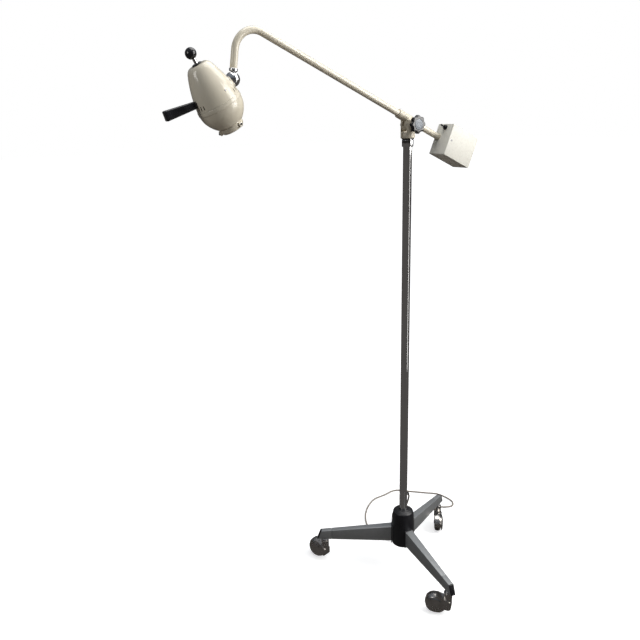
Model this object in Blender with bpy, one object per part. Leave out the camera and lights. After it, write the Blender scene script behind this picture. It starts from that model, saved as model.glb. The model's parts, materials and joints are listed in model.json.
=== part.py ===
"""Mobile surgical light on a three-legged castor stand, as separate named pieces.

The pole stands upright on a hub with three tapered legs. A counterbalanced boom
tilts in a fork on top of the pole, carries a transformer box at its rear end and
an egg-shaped lamp head on a knuckle at its bent front end. The boom lies in the
XZ plane: the head is towards -X, the box towards +X. Units are metres, +Z is up.
"""
import math

import bmesh
import bpy
from mathutils import Matrix, Vector

MM = 0.001

# ---------------------------------------------------------------- driving sizes
# Where the pole's axis meets the floor; the origin is the bottom centre of the object's box.
POLE_FOOT = (0.2490, 0.0292, 0.0)
POLE_R = 15.0 * MM
POLE_WALL = 2.0 * MM
POLE_BOTTOM = 0.1075
POLE_TOP = 1.6625

LEG_ANGLES = {"left": 140.5, "front": 260.5, "back": 20.5}
LEG_INNER_R = 0.0297
LEG_REF_R = 0.050
LEG_OUTER_R = 0.3246
LEG_WIDTH = (30.9 * MM, 19.0 * MM)
LEG_TOP = (0.1725, 0.1356)
LEG_BOTTOM = (0.1087, 0.0991)
LEG_END_SLANT = 14.0 * MM
CAP_THICKNESS = 5.0 * MM

HUB_R = 44.0 * MM
HUB_BOTTOM = 0.0995
HUB_TOP = 0.2500
HUB_WALL = 3.0 * MM

CASTER_RADIAL = 0.3120
CASTER_TRAIL = 43.0 * MM
CASTER_TURNS = {"left": 102.0, "front": 127.0, "back": -131.0}
WHEEL_R = 36.0 * MM
AXLE_R = 4.0 * MM
STEM_R = 5.5 * MM

BOOM_PIVOT_Z = 1.7070
HINGE_Z = 1.6900
KNOB_BACK = 39.0 * MM
BOOM_TILT = 24.33
BOOM_R = 10.0 * MM
BOOM_BORE = 8.2 * MM
BOOM_CORNER = 0.6530
BOOM_REAR = 0.1620
BEND_RADIUS = 61.0 * MM
NECK_TURN = 105.0
NECK_TO_KNUCKLE = 0.1550
NECK_END = 22.0 * MM

FORK_R = 23.3 * MM
SLOT_HALF = 15.0 * MM
SLEEVE_R = 14.2 * MM

BOX_FACE = 0.1466
BOX_LENGTH = 0.1276
BOX_HEIGHT = 0.1050
BOX_DEPTH = 0.0726
BOX_SHIFT_Y = -20.6 * MM
BOX_SHIFT_Z = -6.6 * MM
SHEET = 1.5 * MM

HEAD_TILT = -38.65
HEAD_OFFSET = 69.4 * MM
HEAD_TOP = 78.7 * MM
HEAD_WALL = 2.0 * MM
HEAD_SEAM = 104.5
VENT_TURN = 196.0
VENT_STEP = 10.0
LUG_TURN = 168.0
DOME_R = 20.0 * MM

CORD_R = 3.25 * MM
COIL_MEAN_R = 36.0 * MM
GLAND_ANGLE = 27.0
GLAND_Z = 0.3000

GAP = 0.3 * MM

# Outline of the lamp head: distance down from its flat top, and radius, in mm.
HEAD_OUTLINE = [(0.0, 22.5), (1.2, 26.5), (5.0, 31.0), (12.0, 35.8), (35.0, 45.4), (60.0, 53.6),
                (85.0, 59.4), (104.5, 62.5), (118.0, 63.2), (135.0, 60.5), (150.0, 53.6), (163.0, 44.2),
                (171.0, 36.0)]


# ---------------------------------------------------------------- small helpers
def clear_scene():
    """Remove every object that the scene starts with."""
    for item in list(bpy.data.objects):
        bpy.data.objects.remove(item, do_unlink=True)


def material(name, color, roughness, metallic=0.0, alpha=1.0):
    """Return a Principled material with one colour."""
    made = bpy.data.materials.new(name)
    made.use_nodes = True
    shader = made.node_tree.nodes["Principled BSDF"]
    shader.inputs["Base Color"].default_value = (*color, 1.0)
    shader.inputs["Roughness"].default_value = roughness
    shader.inputs["Metallic"].default_value = metallic
    shader.inputs["Alpha"].default_value = alpha
    return made


def pivot(name, parent=None, location=(0.0, 0.0, 0.0), turn_y=0.0, turn_z=0.0):
    """Make an empty that marks a joint's axis and carries the pieces on it."""
    made = bpy.data.objects.new(name, None)
    bpy.context.scene.collection.objects.link(made)
    made.parent = parent
    made.location = location
    made.rotation_euler = (0.0, math.radians(turn_y), math.radians(turn_z))
    return made


def add_mesh(name, bm, finish, parent, matrix=None, smooth=True):
    """Turn a bmesh into a named object under its parent empty."""
    bmesh.ops.recalc_face_normals(bm, faces=bm.faces)
    if matrix is not None:
        bmesh.ops.transform(bm, matrix=matrix, verts=bm.verts)
    mesh = bpy.data.meshes.new(name)
    bm.to_mesh(mesh)
    bm.free()
    if smooth:
        mesh.shade_smooth()
        mesh.set_sharp_from_angle(angle=math.radians(35.0))
    made = bpy.data.objects.new(name, mesh)
    bpy.context.scene.collection.objects.link(made)
    made.parent = parent
    if finish is not None:
        mesh.materials.append(finish)
    return made


def hide_tool(tool):
    """Keep a cutter out of the model."""
    tool.hide_render = True
    tool.display_type = "WIRE"


def combine(target, tool, operation):
    """Join a tool to a piece, or cut it out of the piece, with a Boolean."""
    step = target.modifiers.new(operation.title(), "BOOLEAN")
    step.operation = operation
    step.solver = "EXACT"
    step.object = tool
    hide_tool(tool)


def revolve(profile, sides):
    """Spin a closed (radius, height) outline about Z into a closed bmesh."""
    bm = bmesh.new()
    rings = []
    for radius, height in profile:
        if radius < 1e-7:
            rings.append([bm.verts.new((0.0, 0.0, height))])
            continue
        ring = []
        for k in range(sides):
            angle = 2.0 * math.pi * k / sides
            ring.append(bm.verts.new((radius * math.cos(angle), radius * math.sin(angle), height)))
        rings.append(ring)
    for low, high in zip(rings, rings[1:] + rings[:1]):
        if len(low) == 1 and len(high) == 1:
            continue
        for k in range(sides):
            n = (k + 1) % sides
            if len(low) == 1:
                bm.faces.new((low[0], high[k], high[n]))
            elif len(high) == 1:
                bm.faces.new((low[k], low[n], high[0]))
            else:
                bm.faces.new((low[k], low[n], high[n], high[k]))
    return bm


def cylinder(radius, low, high, sides=24, chamfer=0.0):
    """Return a solid cylinder on Z, with chamfered rims where asked."""
    if chamfer <= 0.0:
        return revolve([(0.0, low), (radius, low), (radius, high), (0.0, high)], sides)
    return revolve([(0.0, low), (radius - chamfer, low), (radius, low + chamfer),
                    (radius, high - chamfer), (radius - chamfer, high), (0.0, high)], sides)


def ring(inner, outer, low, high, sides=32, chamfer=0.5 * MM):
    """Return a ring on Z with small chamfers on its outer rims."""
    return revolve([(inner, low), (outer - chamfer, low), (outer, low + chamfer),
                    (outer, high - chamfer), (outer - chamfer, high), (inner, high)], sides)


def box(low, high):
    """Return a closed box between two corners."""
    bm = bmesh.new()
    made = bmesh.ops.create_cube(bm, size=1.0)
    for vert in made["verts"]:
        for axis in range(3):
            share = vert.co[axis] + 0.5
            vert.co[axis] = low[axis] + share * (high[axis] - low[axis])
    return bm


def soften(bm, width, segments=1):
    """Bevel every edge of a plain solid."""
    bmesh.ops.bevel(bm, geom=list(bm.edges), offset=width, offset_type="OFFSET",
                    segments=segments, profile=0.5, affect="EDGES", clamp_overlap=True)
    return bm


def prism(outline, low, high):
    """Extrude an outline in XY from one height to another."""
    bm = bmesh.new()
    face = bm.faces.new([bm.verts.new((x, y, low)) for x, y in outline])
    grown = bmesh.ops.extrude_face_region(bm, geom=[face])
    for vert in [g for g in grown["geom"] if isinstance(g, bmesh.types.BMVert)]:
        vert.co.z = high
    return bm


def sweep(points, radii, sides, bore=None):
    """Run a round section along a path, solid or, with a bore, as a tube."""
    bm = bmesh.new()
    path = [Vector(p) for p in points]
    tangents = []
    for k in range(len(path)):
        ahead = path[min(k + 1, len(path) - 1)] - path[max(k - 1, 0)]
        tangents.append(ahead.normalized())
    side = tangents[0].orthogonal().normalized()
    outer, inner = [], []
    for k, centre in enumerate(path):
        side = (side - tangents[k] * side.dot(tangents[k])).normalized()
        across = tangents[k].cross(side)
        for rings, radius in ((outer, radii[k]), (inner, bore)):
            if radius is None:
                continue
            loop = []
            for n in range(sides):
                angle = 2.0 * math.pi * n / sides
                loop.append(bm.verts.new(centre + (side * math.cos(angle) + across * math.sin(angle)) * radius))
            rings.append(loop)
    for rings in (outer, inner):
        for low, high in zip(rings, rings[1:]):
            for n in range(sides):
                m = (n + 1) % sides
                bm.faces.new((low[n], low[m], high[m], high[n]))
    for end in (0, -1):
        if bore is None:
            bm.faces.new(outer[end])
            continue
        for n in range(sides):
            m = (n + 1) % sides
            bm.faces.new((outer[end][n], outer[end][m], inner[end][m], inner[end][n]))
    return bm


def smooth_through(points, steps):
    """Return points on a Catmull-Rom curve through the given points."""
    path = [Vector(p) for p in points]
    ends = [path[0] * 2.0 - path[1]] + path + [path[-1] * 2.0 - path[-2]]
    made = []
    for a, b, c, d in zip(ends, ends[1:], ends[2:], ends[3:]):
        for k in range(steps):
            t = k / steps
            made.append(0.5 * (b * 2.0 + (c - a) * t + (a * 2.0 - b * 5.0 + c * 4.0 - d) * t ** 2
                               + (b * 3.0 - a - c * 3.0 + d) * t ** 3))
    made.append(path[-1])
    return made


def evenly(points, count):
    """Space points evenly along a polyline, ends included."""
    lengths = [0.0]
    for a, b in zip(points, points[1:]):
        lengths.append(lengths[-1] + (b - a).length)
    made, k = [], 0
    for n in range(count):
        want = lengths[-1] * n / (count - 1)
        while k < len(points) - 2 and lengths[k + 1] < want:
            k += 1
        share = (want - lengths[k]) / max(lengths[k + 1] - lengths[k], 1e-9)
        made.append(points[k].lerp(points[k + 1], share))
    return made


def turned(axis, degrees, origin=(0.0, 0.0, 0.0)):
    """Return a matrix that turns about an axis and then moves to an origin."""
    return Matrix.Translation(origin) @ Matrix.Rotation(math.radians(degrees), 4, axis)


# ---------------------------------------------------------------- materials
def make_materials():
    """Return the finishes by name."""
    return {
        "enamel": material("cream_enamel", (0.80, 0.76, 0.63), 0.28),
        "casting": material("cream_casting", (0.76, 0.71, 0.60), 0.42),
        "box_paint": material("box_paint", (0.82, 0.81, 0.75), 0.45),
        "chrome": material("chrome", (0.78, 0.78, 0.79), 0.08, 1.0),
        "leg_paint": material("silver_leg_paint", (0.42, 0.44, 0.45), 0.42, 0.6),
        "black": material("black_plastic", (0.015, 0.015, 0.017), 0.35),
        "knob": material("black_knob", (0.012, 0.012, 0.012), 0.22),
        "tread": material("wheel_brown", (0.06, 0.045, 0.04), 0.6),
        "steel": material("steel", (0.55, 0.55, 0.56), 0.30, 1.0),
        "glass": material("lens_glass", (0.85, 0.92, 0.92), 0.03, 0.0, 0.35),
        "mirror": material("mirror", (0.90, 0.90, 0.90), 0.03, 1.0),
        "ceramic": material("lamp_ceramic", (0.80, 0.78, 0.72), 0.6),
        "iron": material("core_iron", (0.20, 0.20, 0.21), 0.5, 0.8),
        "copper": material("coil_wrap", (0.55, 0.30, 0.12), 0.5),
        "cord": material("cord_grey", (0.42, 0.39, 0.34), 0.55),
    }


# ---------------------------------------------------------------- stand
def leg_section(radial):
    """Return half width, top and bottom of a leg at a distance from the pole."""
    share = (radial - LEG_REF_R) / (LEG_OUTER_R - LEG_REF_R)
    half = 0.5 * (LEG_WIDTH[0] + (LEG_WIDTH[1] - LEG_WIDTH[0]) * share)
    top = LEG_TOP[0] + (LEG_TOP[1] - LEG_TOP[0]) * share
    bottom = LEG_BOTTOM[0] + (LEG_BOTTOM[1] - LEG_BOTTOM[0]) * share
    return half, top, bottom


def leg_slab(inner, outer, slant_in, slant_out, grow=0.0):
    """Return a tapered bar between two distances, its ends leaning outwards at the foot."""
    bm = bmesh.new()
    loops = []
    for radial, slant in ((inner, slant_in), (outer, slant_out)):
        half, top, bottom = leg_section(radial)
        half += grow
        loops.append([bm.verts.new((radial, -half, top + grow)),
                      bm.verts.new((radial, half, top + grow)),
                      bm.verts.new((radial + slant, half, bottom - grow)),
                      bm.verts.new((radial + slant, -half, bottom - grow))])
    first, last = loops
    bm.faces.new(first)
    bm.faces.new(last)
    for k in range(4):
        n = (k + 1) % 4
        bm.faces.new((first[k], first[n], last[n], last[k]))
    return bm


def make_legs(finish, root):
    """Three tapered legs with a stem hole each, and their black end caps."""
    for side, angle in LEG_ANGLES.items():
        turn = turned("Z", angle)
        bar = soften(leg_slab(LEG_INNER_R, LEG_OUTER_R, 0.0, LEG_END_SLANT), 1.6 * MM)
        leg = add_mesh(f"leg_{side}", bar, finish["leg_paint"], root, turn)
        hole = cylinder(STEM_R + GAP, 0.08, 0.1185, 14)
        bore = add_mesh(f"stem_hole_{side}", hole, None, root, turn @ Matrix.Translation((CASTER_RADIAL, 0, 0)))
        combine(leg, bore, "DIFFERENCE")
        cap = soften(leg_slab(LEG_OUTER_R + GAP, LEG_OUTER_R + GAP + CAP_THICKNESS,
                              LEG_END_SLANT, LEG_END_SLANT, 0.3 * MM), 1.2 * MM)
        add_mesh(f"leg_cap_{side}", cap, finish["black"], root, turn)


def make_hub(finish, root):
    """Hub core, its black cover and the plate that closes it from below."""
    shoulder = HUB_R - 5.5 * MM
    outline = [(HUB_R - 2 * MM, HUB_BOTTOM), (HUB_R, HUB_BOTTOM + 2 * MM), (HUB_R, 0.190),
               (HUB_R - 1.5 * MM, 0.210), (shoulder + 1 * MM, 0.234), (shoulder - 3 * MM, 0.2435),
               (shoulder - 10 * MM, 0.2490), (shoulder - 16 * MM, HUB_TOP), (POLE_R + GAP, HUB_TOP),
               (POLE_R + GAP, HUB_TOP - HUB_WALL), (shoulder - 13 * MM, HUB_TOP - HUB_WALL),
               (shoulder - 5 * MM, 0.2405), (shoulder - 2.5 * MM, 0.232), (HUB_R - 4.6 * MM, 0.208),
               (HUB_R - HUB_WALL, 0.190), (HUB_R - HUB_WALL, HUB_BOTTOM)]
    cover = add_mesh("hub_cover", revolve(outline, 22), finish["black"], root)
    for side, angle in LEG_ANGLES.items():
        half, top, _ = leg_section(HUB_R - HUB_WALL)
        notch = box((0.030, -half - 2 * GAP, HUB_BOTTOM - 0.01), (0.060, half + 2 * GAP, top + 3 * GAP))
        tool = add_mesh(f"leg_notch_{side}", notch, None, root, turned("Z", angle), smooth=False)
        combine(cover, tool, "DIFFERENCE")
    core = revolve([(POLE_R + GAP, 0.1090), (28.0 * MM, 0.1090), (29.0 * MM, 0.1100), (29.0 * MM, 0.232),
                    (27.0 * MM, 0.236), (POLE_R + GAP, 0.236)], 18)
    add_mesh("hub_core", core, finish["steel"], root)
    plate = revolve([(0.0, 0.1010), (7.0 * MM, 0.1010), (8.0 * MM, 0.1040), (40.0 * MM, 0.1040),
                     (40.5 * MM, 0.1050), (40.5 * MM, 0.1070), (0.0, 0.1070)], 20)
    add_mesh("hub_plate", plate, finish["steel"], root)


def make_pole(finish, root):
    """Chrome pole, its top collar, the swivel washer and the cord's gland."""
    tube = revolve([(POLE_R - POLE_WALL, POLE_BOTTOM), (POLE_R, POLE_BOTTOM), (POLE_R, POLE_TOP),
                    (POLE_R - POLE_WALL, POLE_TOP)], 18)
    pole = add_mesh("pole", tube, finish["chrome"], root)
    hole = cylinder(5.5 * MM, 0.0, 0.030, 20)
    radial = turned("Z", GLAND_ANGLE) @ turned("Y", 90.0, (0.0, 0.0, GLAND_Z))
    combine(pole, add_mesh("gland_hole", hole, None, root, radial), "DIFFERENCE")
    add_mesh("pole_collar", ring(POLE_R + GAP, 19.3 * MM, 1.6200, 1.6435, 18, 1.2 * MM), finish["chrome"], root)
    add_mesh("swivel_washer", ring(POLE_R + GAP, 20.6 * MM, 1.6438, 1.6472, 18, 0.4 * MM), finish["black"], root)
    gland = revolve([(0.0, 0.0120), (5.2 * MM, 0.0120), (5.2 * MM, 0.0156), (8.6 * MM, 0.0156),
                     (9.0 * MM, 0.0164), (9.0 * MM, 0.0225), (7.6 * MM, 0.0250), (0.0, 0.0250)], 16)
    moulded = add_mesh("cord_gland", gland, finish["black"], root, radial)
    nose = [(0.0230, 0, 0.3000), (0.0330, 0, 0.2992), (0.0405, 0, 0.2960), (0.0470, 0, 0.2905), (0.0520, 0, 0.2835)]
    outward = Matrix.Rotation(math.radians(GLAND_ANGLE), 3, "Z")
    relief = sweep([outward @ Vector(p) for p in nose], [6.2 * MM, 5.7 * MM, 5.2 * MM, 4.7 * MM, 4.2 * MM], 10)
    combine(moulded, add_mesh("gland_relief", relief, None, root), "UNION")


def make_cord(finish, root):
    """Mains lead: loose run, coil behind the hub, and plug."""
    route = smooth_through(CORD_ROUTE, 8)
    points = evenly(route, 72)
    curve = bpy.data.curves.new("cord", "CURVE")
    curve.dimensions = "3D"
    curve.bevel_depth = CORD_R
    curve.bevel_resolution = 2
    curve.use_fill_caps = True
    curve.resolution_u = 1
    curve.render_resolution_u = 0
    spline = curve.splines.new("POLY")
    spline.points.add(len(points) - 1)
    for slot, point in zip(spline.points, points):
        slot.co = (*point, 1.0)
    curve.materials.append(finish["cord"])
    lead = bpy.data.objects.new("cord", curve)
    bpy.context.scene.collection.objects.link(lead)
    lead.parent = root
    inner, outer = COIL_MEAN_R - 6.5 * MM, COIL_MEAN_R + 6.5 * MM
    coil = revolve([(inner, 2.2 * MM), (inner + 2.0 * MM, GAP), (outer - 2.0 * MM, GAP), (outer, 2.2 * MM),
                    (outer, 24.3 * MM), (outer - 2.0 * MM, 26.3 * MM), (inner + 2.0 * MM, 26.3 * MM),
                    (inner, 24.3 * MM)], 20)
    add_mesh("cord_coil", coil, finish["cord"], root, Matrix.Translation(COIL_CENTRE))
    body = revolve([(0.0, -33 * MM), (4.4 * MM, -33 * MM), (5.0 * MM, -20 * MM), (11.0 * MM, -11 * MM),
                    (17.5 * MM, -2 * MM), (18.5 * MM, 0.0), (18.5 * MM, 15 * MM), (17.5 * MM, 17 * MM),
                    (0.0, 17 * MM)], 18)
    lying = turned("Z", PLUG_TURN, PLUG_PLACE) @ turned("Y", 90.0)
    plug = add_mesh("plug", body, finish["black"], root, lying)
    for k, across in enumerate((-9.5 * MM, 9.5 * MM)):
        pin = cylinder(2.4 * MM, 15 * MM, 36 * MM, 12, 0.8 * MM)
        place = lying @ turned("Z", 90.0) @ Matrix.Translation((across, 0.0, 0.0))
        combine(plug, add_mesh(f"plug_pin_{k}", pin, None, root, place), "UNION")


# ---------------------------------------------------------------- castors
def make_caster(side, finish, root):
    """One castor: stem in the leg, hood on its swivel, wheel on its axle."""
    angle = math.radians(LEG_ANGLES[side])
    place = (CASTER_RADIAL * math.cos(angle), CASTER_RADIAL * math.sin(angle), 0.0)
    swivel = pivot(f"swivel_{side}", root, place, turn_z=CASTER_TURNS[side])
    stem = revolve([(0.0, 0.0560), (STEM_R - 1 * MM, 0.0560), (STEM_R, 0.0570), (STEM_R, 0.0930),
                    (11.0 * MM, 0.0930), (11.5 * MM, 0.0936), (11.5 * MM, 0.0975), (11.0 * MM, 0.0981),
                    (STEM_R, 0.0981), (STEM_R, 0.1175), (STEM_R - 1 * MM, 0.1180), (0.0, 0.1180)], 14)
    add_mesh(f"caster_stem_{side}", stem, finish["steel"], root, Matrix.Translation(place))
    # The hood is turned about the wheel's axle, which lies along local Y.
    to_axle = Matrix.Translation((CASTER_TRAIL, 0.0, WHEEL_R)) @ turned("X", -90.0)
    dome = revolve([(0.0, 22.0 * MM), (14.0 * MM, 21.8 * MM), (26.0 * MM, 20.4 * MM), (33.0 * MM, 16.6 * MM),
                    (38.3 * MM, 8.5 * MM), (39.5 * MM, 2.0 * MM), (39.5 * MM, -13.0 * MM), (0.0, -13.0 * MM)], 24)
    hood = add_mesh(f"caster_hood_{side}", dome, finish["chrome"], swivel, to_axle)
    boss = revolve([(0.0, 0.0300), (9.0 * MM, 0.0305), (13.5 * MM, 0.0345), (15.0 * MM, 0.0410),
                    (15.0 * MM, 0.0905), (13.0 * MM, 0.0925), (0.0, 0.0925)], 16)
    combine(hood, add_mesh(f"boss_{side}", boss, None, swivel), "UNION")
    web = prism([(-13.0 * MM, -0.0560), (-13.0 * MM, -0.0300), (-6.0 * MM, -0.0240), (CASTER_TRAIL, -0.0240),
                 (CASTER_TRAIL, -0.0754), (34.0 * MM, -0.0749), (20.0 * MM, -0.0715), (0.0, -0.0630)],
                -12.6 * MM, 17.0 * MM)
    web_tool = add_mesh(f"web_{side}", web, None, swivel, turned("X", -90.0), smooth=False)
    combine(hood, web_tool, "UNION")
    hollow = revolve([(0.0, 14.2 * MM), (30.0 * MM, 14.2 * MM), (37.3 * MM, 8.0 * MM), (37.3 * MM, -16.0 * MM),
                      (0.0, -16.0 * MM)], 22)
    combine(hood, add_mesh(f"hollow_{side}", hollow, None, swivel, to_axle), "DIFFERENCE")
    under = box((-0.03, -0.03, -0.02), (0.1, 0.03, 9.0 * MM))
    combine(hood, add_mesh(f"under_{side}", under, None, swivel, smooth=False), "DIFFERENCE")
    corner = prism([(CASTER_TRAIL + 41.0 * MM, -0.0380), (CASTER_TRAIL + 21.0 * MM, 0.0010),
                    (CASTER_TRAIL + 60.0 * MM, 0.0010), (CASTER_TRAIL + 60.0 * MM, -0.0380)], -0.03, 0.03)
    corner_tool = add_mesh(f"corner_{side}", corner, None, swivel, turned("X", -90.0), smooth=False)
    combine(hood, corner_tool, "DIFFERENCE")
    fender = box((CASTER_TRAIL + 12.0 * MM, -0.03, -0.02), (0.12, 13.6 * MM, 33.0 * MM))
    combine(hood, add_mesh(f"fender_{side}", fender, None, swivel, smooth=False), "DIFFERENCE")
    socket = cylinder(STEM_R + GAP, 0.0545, 0.11, 14)
    combine(hood, add_mesh(f"socket_{side}", socket, None, swivel), "DIFFERENCE")
    axle = revolve([(0.0, -16.5 * MM), (AXLE_R + 2.5 * MM, -16.5 * MM), (AXLE_R + 3.0 * MM, -15.4 * MM),
                    (AXLE_R, -15.4 * MM), (AXLE_R, 13.9 * MM), (0.0, 13.9 * MM)], 16)
    add_mesh(f"caster_axle_{side}", axle, finish["steel"], swivel, to_axle)
    spin = pivot(f"spin_{side}", swivel, (CASTER_TRAIL, 0.0, WHEEL_R))
    bore = AXLE_R + 0.15 * MM
    wheel = revolve([(bore, -14.2 * MM), (27.0 * MM, -13.8 * MM), (33.0 * MM, -11.0 * MM), (WHEEL_R, -4.5 * MM),
                     (WHEEL_R, 1.5 * MM), (33.5 * MM, 7.5 * MM), (29.0 * MM, 11.0 * MM), (12.0 * MM, 12.8 * MM),
                     (bore, 12.8 * MM)], 24)
    add_mesh(f"caster_wheel_{side}", wheel, finish["tread"], spin, turned("X", -90.0))


# ---------------------------------------------------------------- fork and boom
def make_fork(finish, swivel):
    """Cast fork that turns on the pole's top, with its hinge bolt and star knob."""
    body = revolve([(POLE_R + 2 * GAP, 1.6475), (FORK_R - 1 * MM, 1.6475), (FORK_R, 1.6485), (FORK_R, 1.7040),
                    (FORK_R - 2.5 * MM, 1.7065), (0.0, 1.7065), (0.0, 1.6640), (POLE_R + 2 * GAP, 1.6640)], 20)
    fork = add_mesh("clamp_fork", body, finish["casting"], swivel)
    slot = box((-0.04, -SLOT_HALF, 1.6660), (0.04, SLOT_HALF, 1.72))
    combine(fork, add_mesh("fork_slot", slot, None, swivel, smooth=False), "DIFFERENCE")
    to_hinge = Matrix.Translation((0.0, 0.0, HINGE_Z)) @ turned("X", 90.0)
    through = add_mesh("fork_bore", cylinder(5.0 * MM, -0.04, 0.04, 16), None, swivel, to_hinge)
    combine(fork, through, "DIFFERENCE")
    bolt = revolve([(0.0, -29.0 * MM), (9.0 * MM, -29.0 * MM), (9.8 * MM, -28.0 * MM), (9.8 * MM, -23.7 * MM),
                    (4.7 * MM, -23.7 * MM), (4.7 * MM, KNOB_BACK + 10.0 * MM), (0.0, KNOB_BACK + 10.0 * MM)], 16)
    add_mesh("hinge_bolt", bolt, finish["steel"], swivel, to_hinge)


def make_star_knob(finish, knob_axis):
    """Lobed clamping knob on the bolt's front end, with its metal centre cap."""
    lobes, count = 8, 48
    outline = []
    for k in range(count):
        angle = 2.0 * math.pi * k / count
        radius = 26.9 * MM + 2.0 * MM * math.cos(lobes * angle)
        outline.append((radius * math.cos(angle), radius * math.sin(angle)))
    body = prism(outline, KNOB_BACK, KNOB_BACK + 15.0 * MM)
    rims = [e for e in body.edges if abs(e.verts[0].co.z - e.verts[1].co.z) < 1e-6]
    bmesh.ops.bevel(body, geom=rims, offset=2.0 * MM, offset_type="OFFSET", segments=1, profile=0.5,
                    affect="EDGES", clamp_overlap=True)
    forward = turned("X", 90.0)
    knob = add_mesh("star_knob", body, finish["knob"], knob_axis, forward)
    neck = add_mesh("knob_neck", cylinder(13.0 * MM, 24.0 * MM, KNOB_BACK + 3.0 * MM, 16), None, knob_axis, forward)
    combine(knob, neck, "UNION")
    seat = KNOB_BACK + 11.0 * MM
    bore = revolve([(0.0, 20.0 * MM), (5.0 * MM, 20.0 * MM), (5.0 * MM, seat), (17.0 * MM, seat),
                    (17.0 * MM, seat + 6.0 * MM), (0.0, seat + 6.0 * MM)], 20)
    combine(knob, add_mesh("knob_bore", bore, None, knob_axis, forward), "DIFFERENCE")
    cap = revolve([(0.0, seat + GAP), (16.7 * MM, seat + GAP), (16.7 * MM, seat + 3.8 * MM), (15.8 * MM, seat + 4.7 * MM),
                   (9.0 * MM, seat + 5.4 * MM), (0.0, seat + 5.6 * MM)], 20)
    add_mesh("knob_cap", cap, finish["steel"], knob_axis, forward)


def boom_line():
    """Return the boom's start point and its height above the hinge, in the boom's frame."""
    rise = BOOM_PIVOT_Z - HINGE_Z
    tilt = math.radians(BOOM_TILT)
    return -rise * math.sin(tilt), rise * math.cos(tilt)


def neck_frame():
    """Return the bend's corner and the neck's direction, in the boom's frame."""
    start, height = boom_line()
    corner = Vector((start - BOOM_CORNER, 0.0, height))
    turn = math.radians(NECK_TURN)
    direction = Vector((-math.cos(turn), 0.0, -math.sin(turn)))
    return corner, direction


def boom_path():
    """Return the centre line of the boom tube from its rear end to the neck's end."""
    start, height = boom_line()
    corner, neck = neck_frame()
    forward = Vector((-1.0, 0.0, 0.0))
    half_turn = math.radians(NECK_TURN) / 2.0
    setback = BEND_RADIUS * math.tan(half_turn)
    inward = (neck - forward).normalized()
    centre = corner + inward * (BEND_RADIUS / math.cos(half_turn))
    first = corner - forward * setback
    path = [Vector((start + BOOM_REAR, 0.0, height)), Vector((start, 0.0, height)),
            Vector((start - 0.25, 0.0, height))]
    steps = 9
    for k in range(steps + 1):
        turn = Matrix.Rotation(-math.radians(NECK_TURN) * k / steps, 3, "Y")
        path.append(centre + turn @ (first - centre))
    path.append(corner + neck * (NECK_TO_KNUCKLE - NECK_END))
    return path


def make_boom(finish, boom):
    """Sleeve casting, bent boom tube and the collar at the neck's end."""
    start, height = boom_line()
    path = boom_path()
    tube = sweep(path, [BOOM_R] * len(path), 16, BOOM_BORE)
    add_mesh("boom_tube", tube, finish["enamel"], boom)
    along = Matrix.Translation((start, 0.0, height)) @ turned("Y", 90.0)
    sleeve = add_mesh("boom_sleeve", cylinder(SLEEVE_R, -0.047, 0.050, 22, 1.0 * MM), finish["casting"], boom, along)
    cheek = cylinder(20.5 * MM, -14.6 * MM, 14.6 * MM, 22)
    combine(sleeve, add_mesh("saddle_disc", cheek, None, boom, turned("X", 90.0)), "UNION")
    bore = add_mesh("sleeve_bore", cylinder(BOOM_R + GAP, -0.08, 0.08, 22), None, boom, along)
    combine(sleeve, bore, "DIFFERENCE")
    eye = add_mesh("saddle_bore", cylinder(5.0 * MM, -0.03, 0.03, 14), None, boom, turned("X", 90.0))
    combine(sleeve, eye, "DIFFERENCE")
    slit = box((-0.03, -4.0 * MM, -12.0 * MM), (-9.0 * MM, 4.0 * MM, 1.0 * MM))
    combine(sleeve, add_mesh("saddle_slit", slit, None, boom, smooth=False), "DIFFERENCE")
    corner, neck = neck_frame()
    up_neck = (-neck).to_track_quat("Z", "Y").to_matrix().to_4x4()
    at_knuckle = Matrix.Translation(corner + neck * NECK_TO_KNUCKLE) @ up_neck
    collar = revolve([(7.0 * MM, 20.6 * MM), (10.6 * MM, 20.6 * MM), (11.5 * MM, 21.4 * MM), (11.5 * MM, 27.4 * MM),
                      (10.9 * MM, 28.0 * MM), (BOOM_R + GAP, 28.0 * MM), (BOOM_R + GAP, NECK_END - GAP),
                      (7.0 * MM, NECK_END - GAP)], 16)
    add_mesh("neck_collar", collar, finish["chrome"], boom, at_knuckle)


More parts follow.
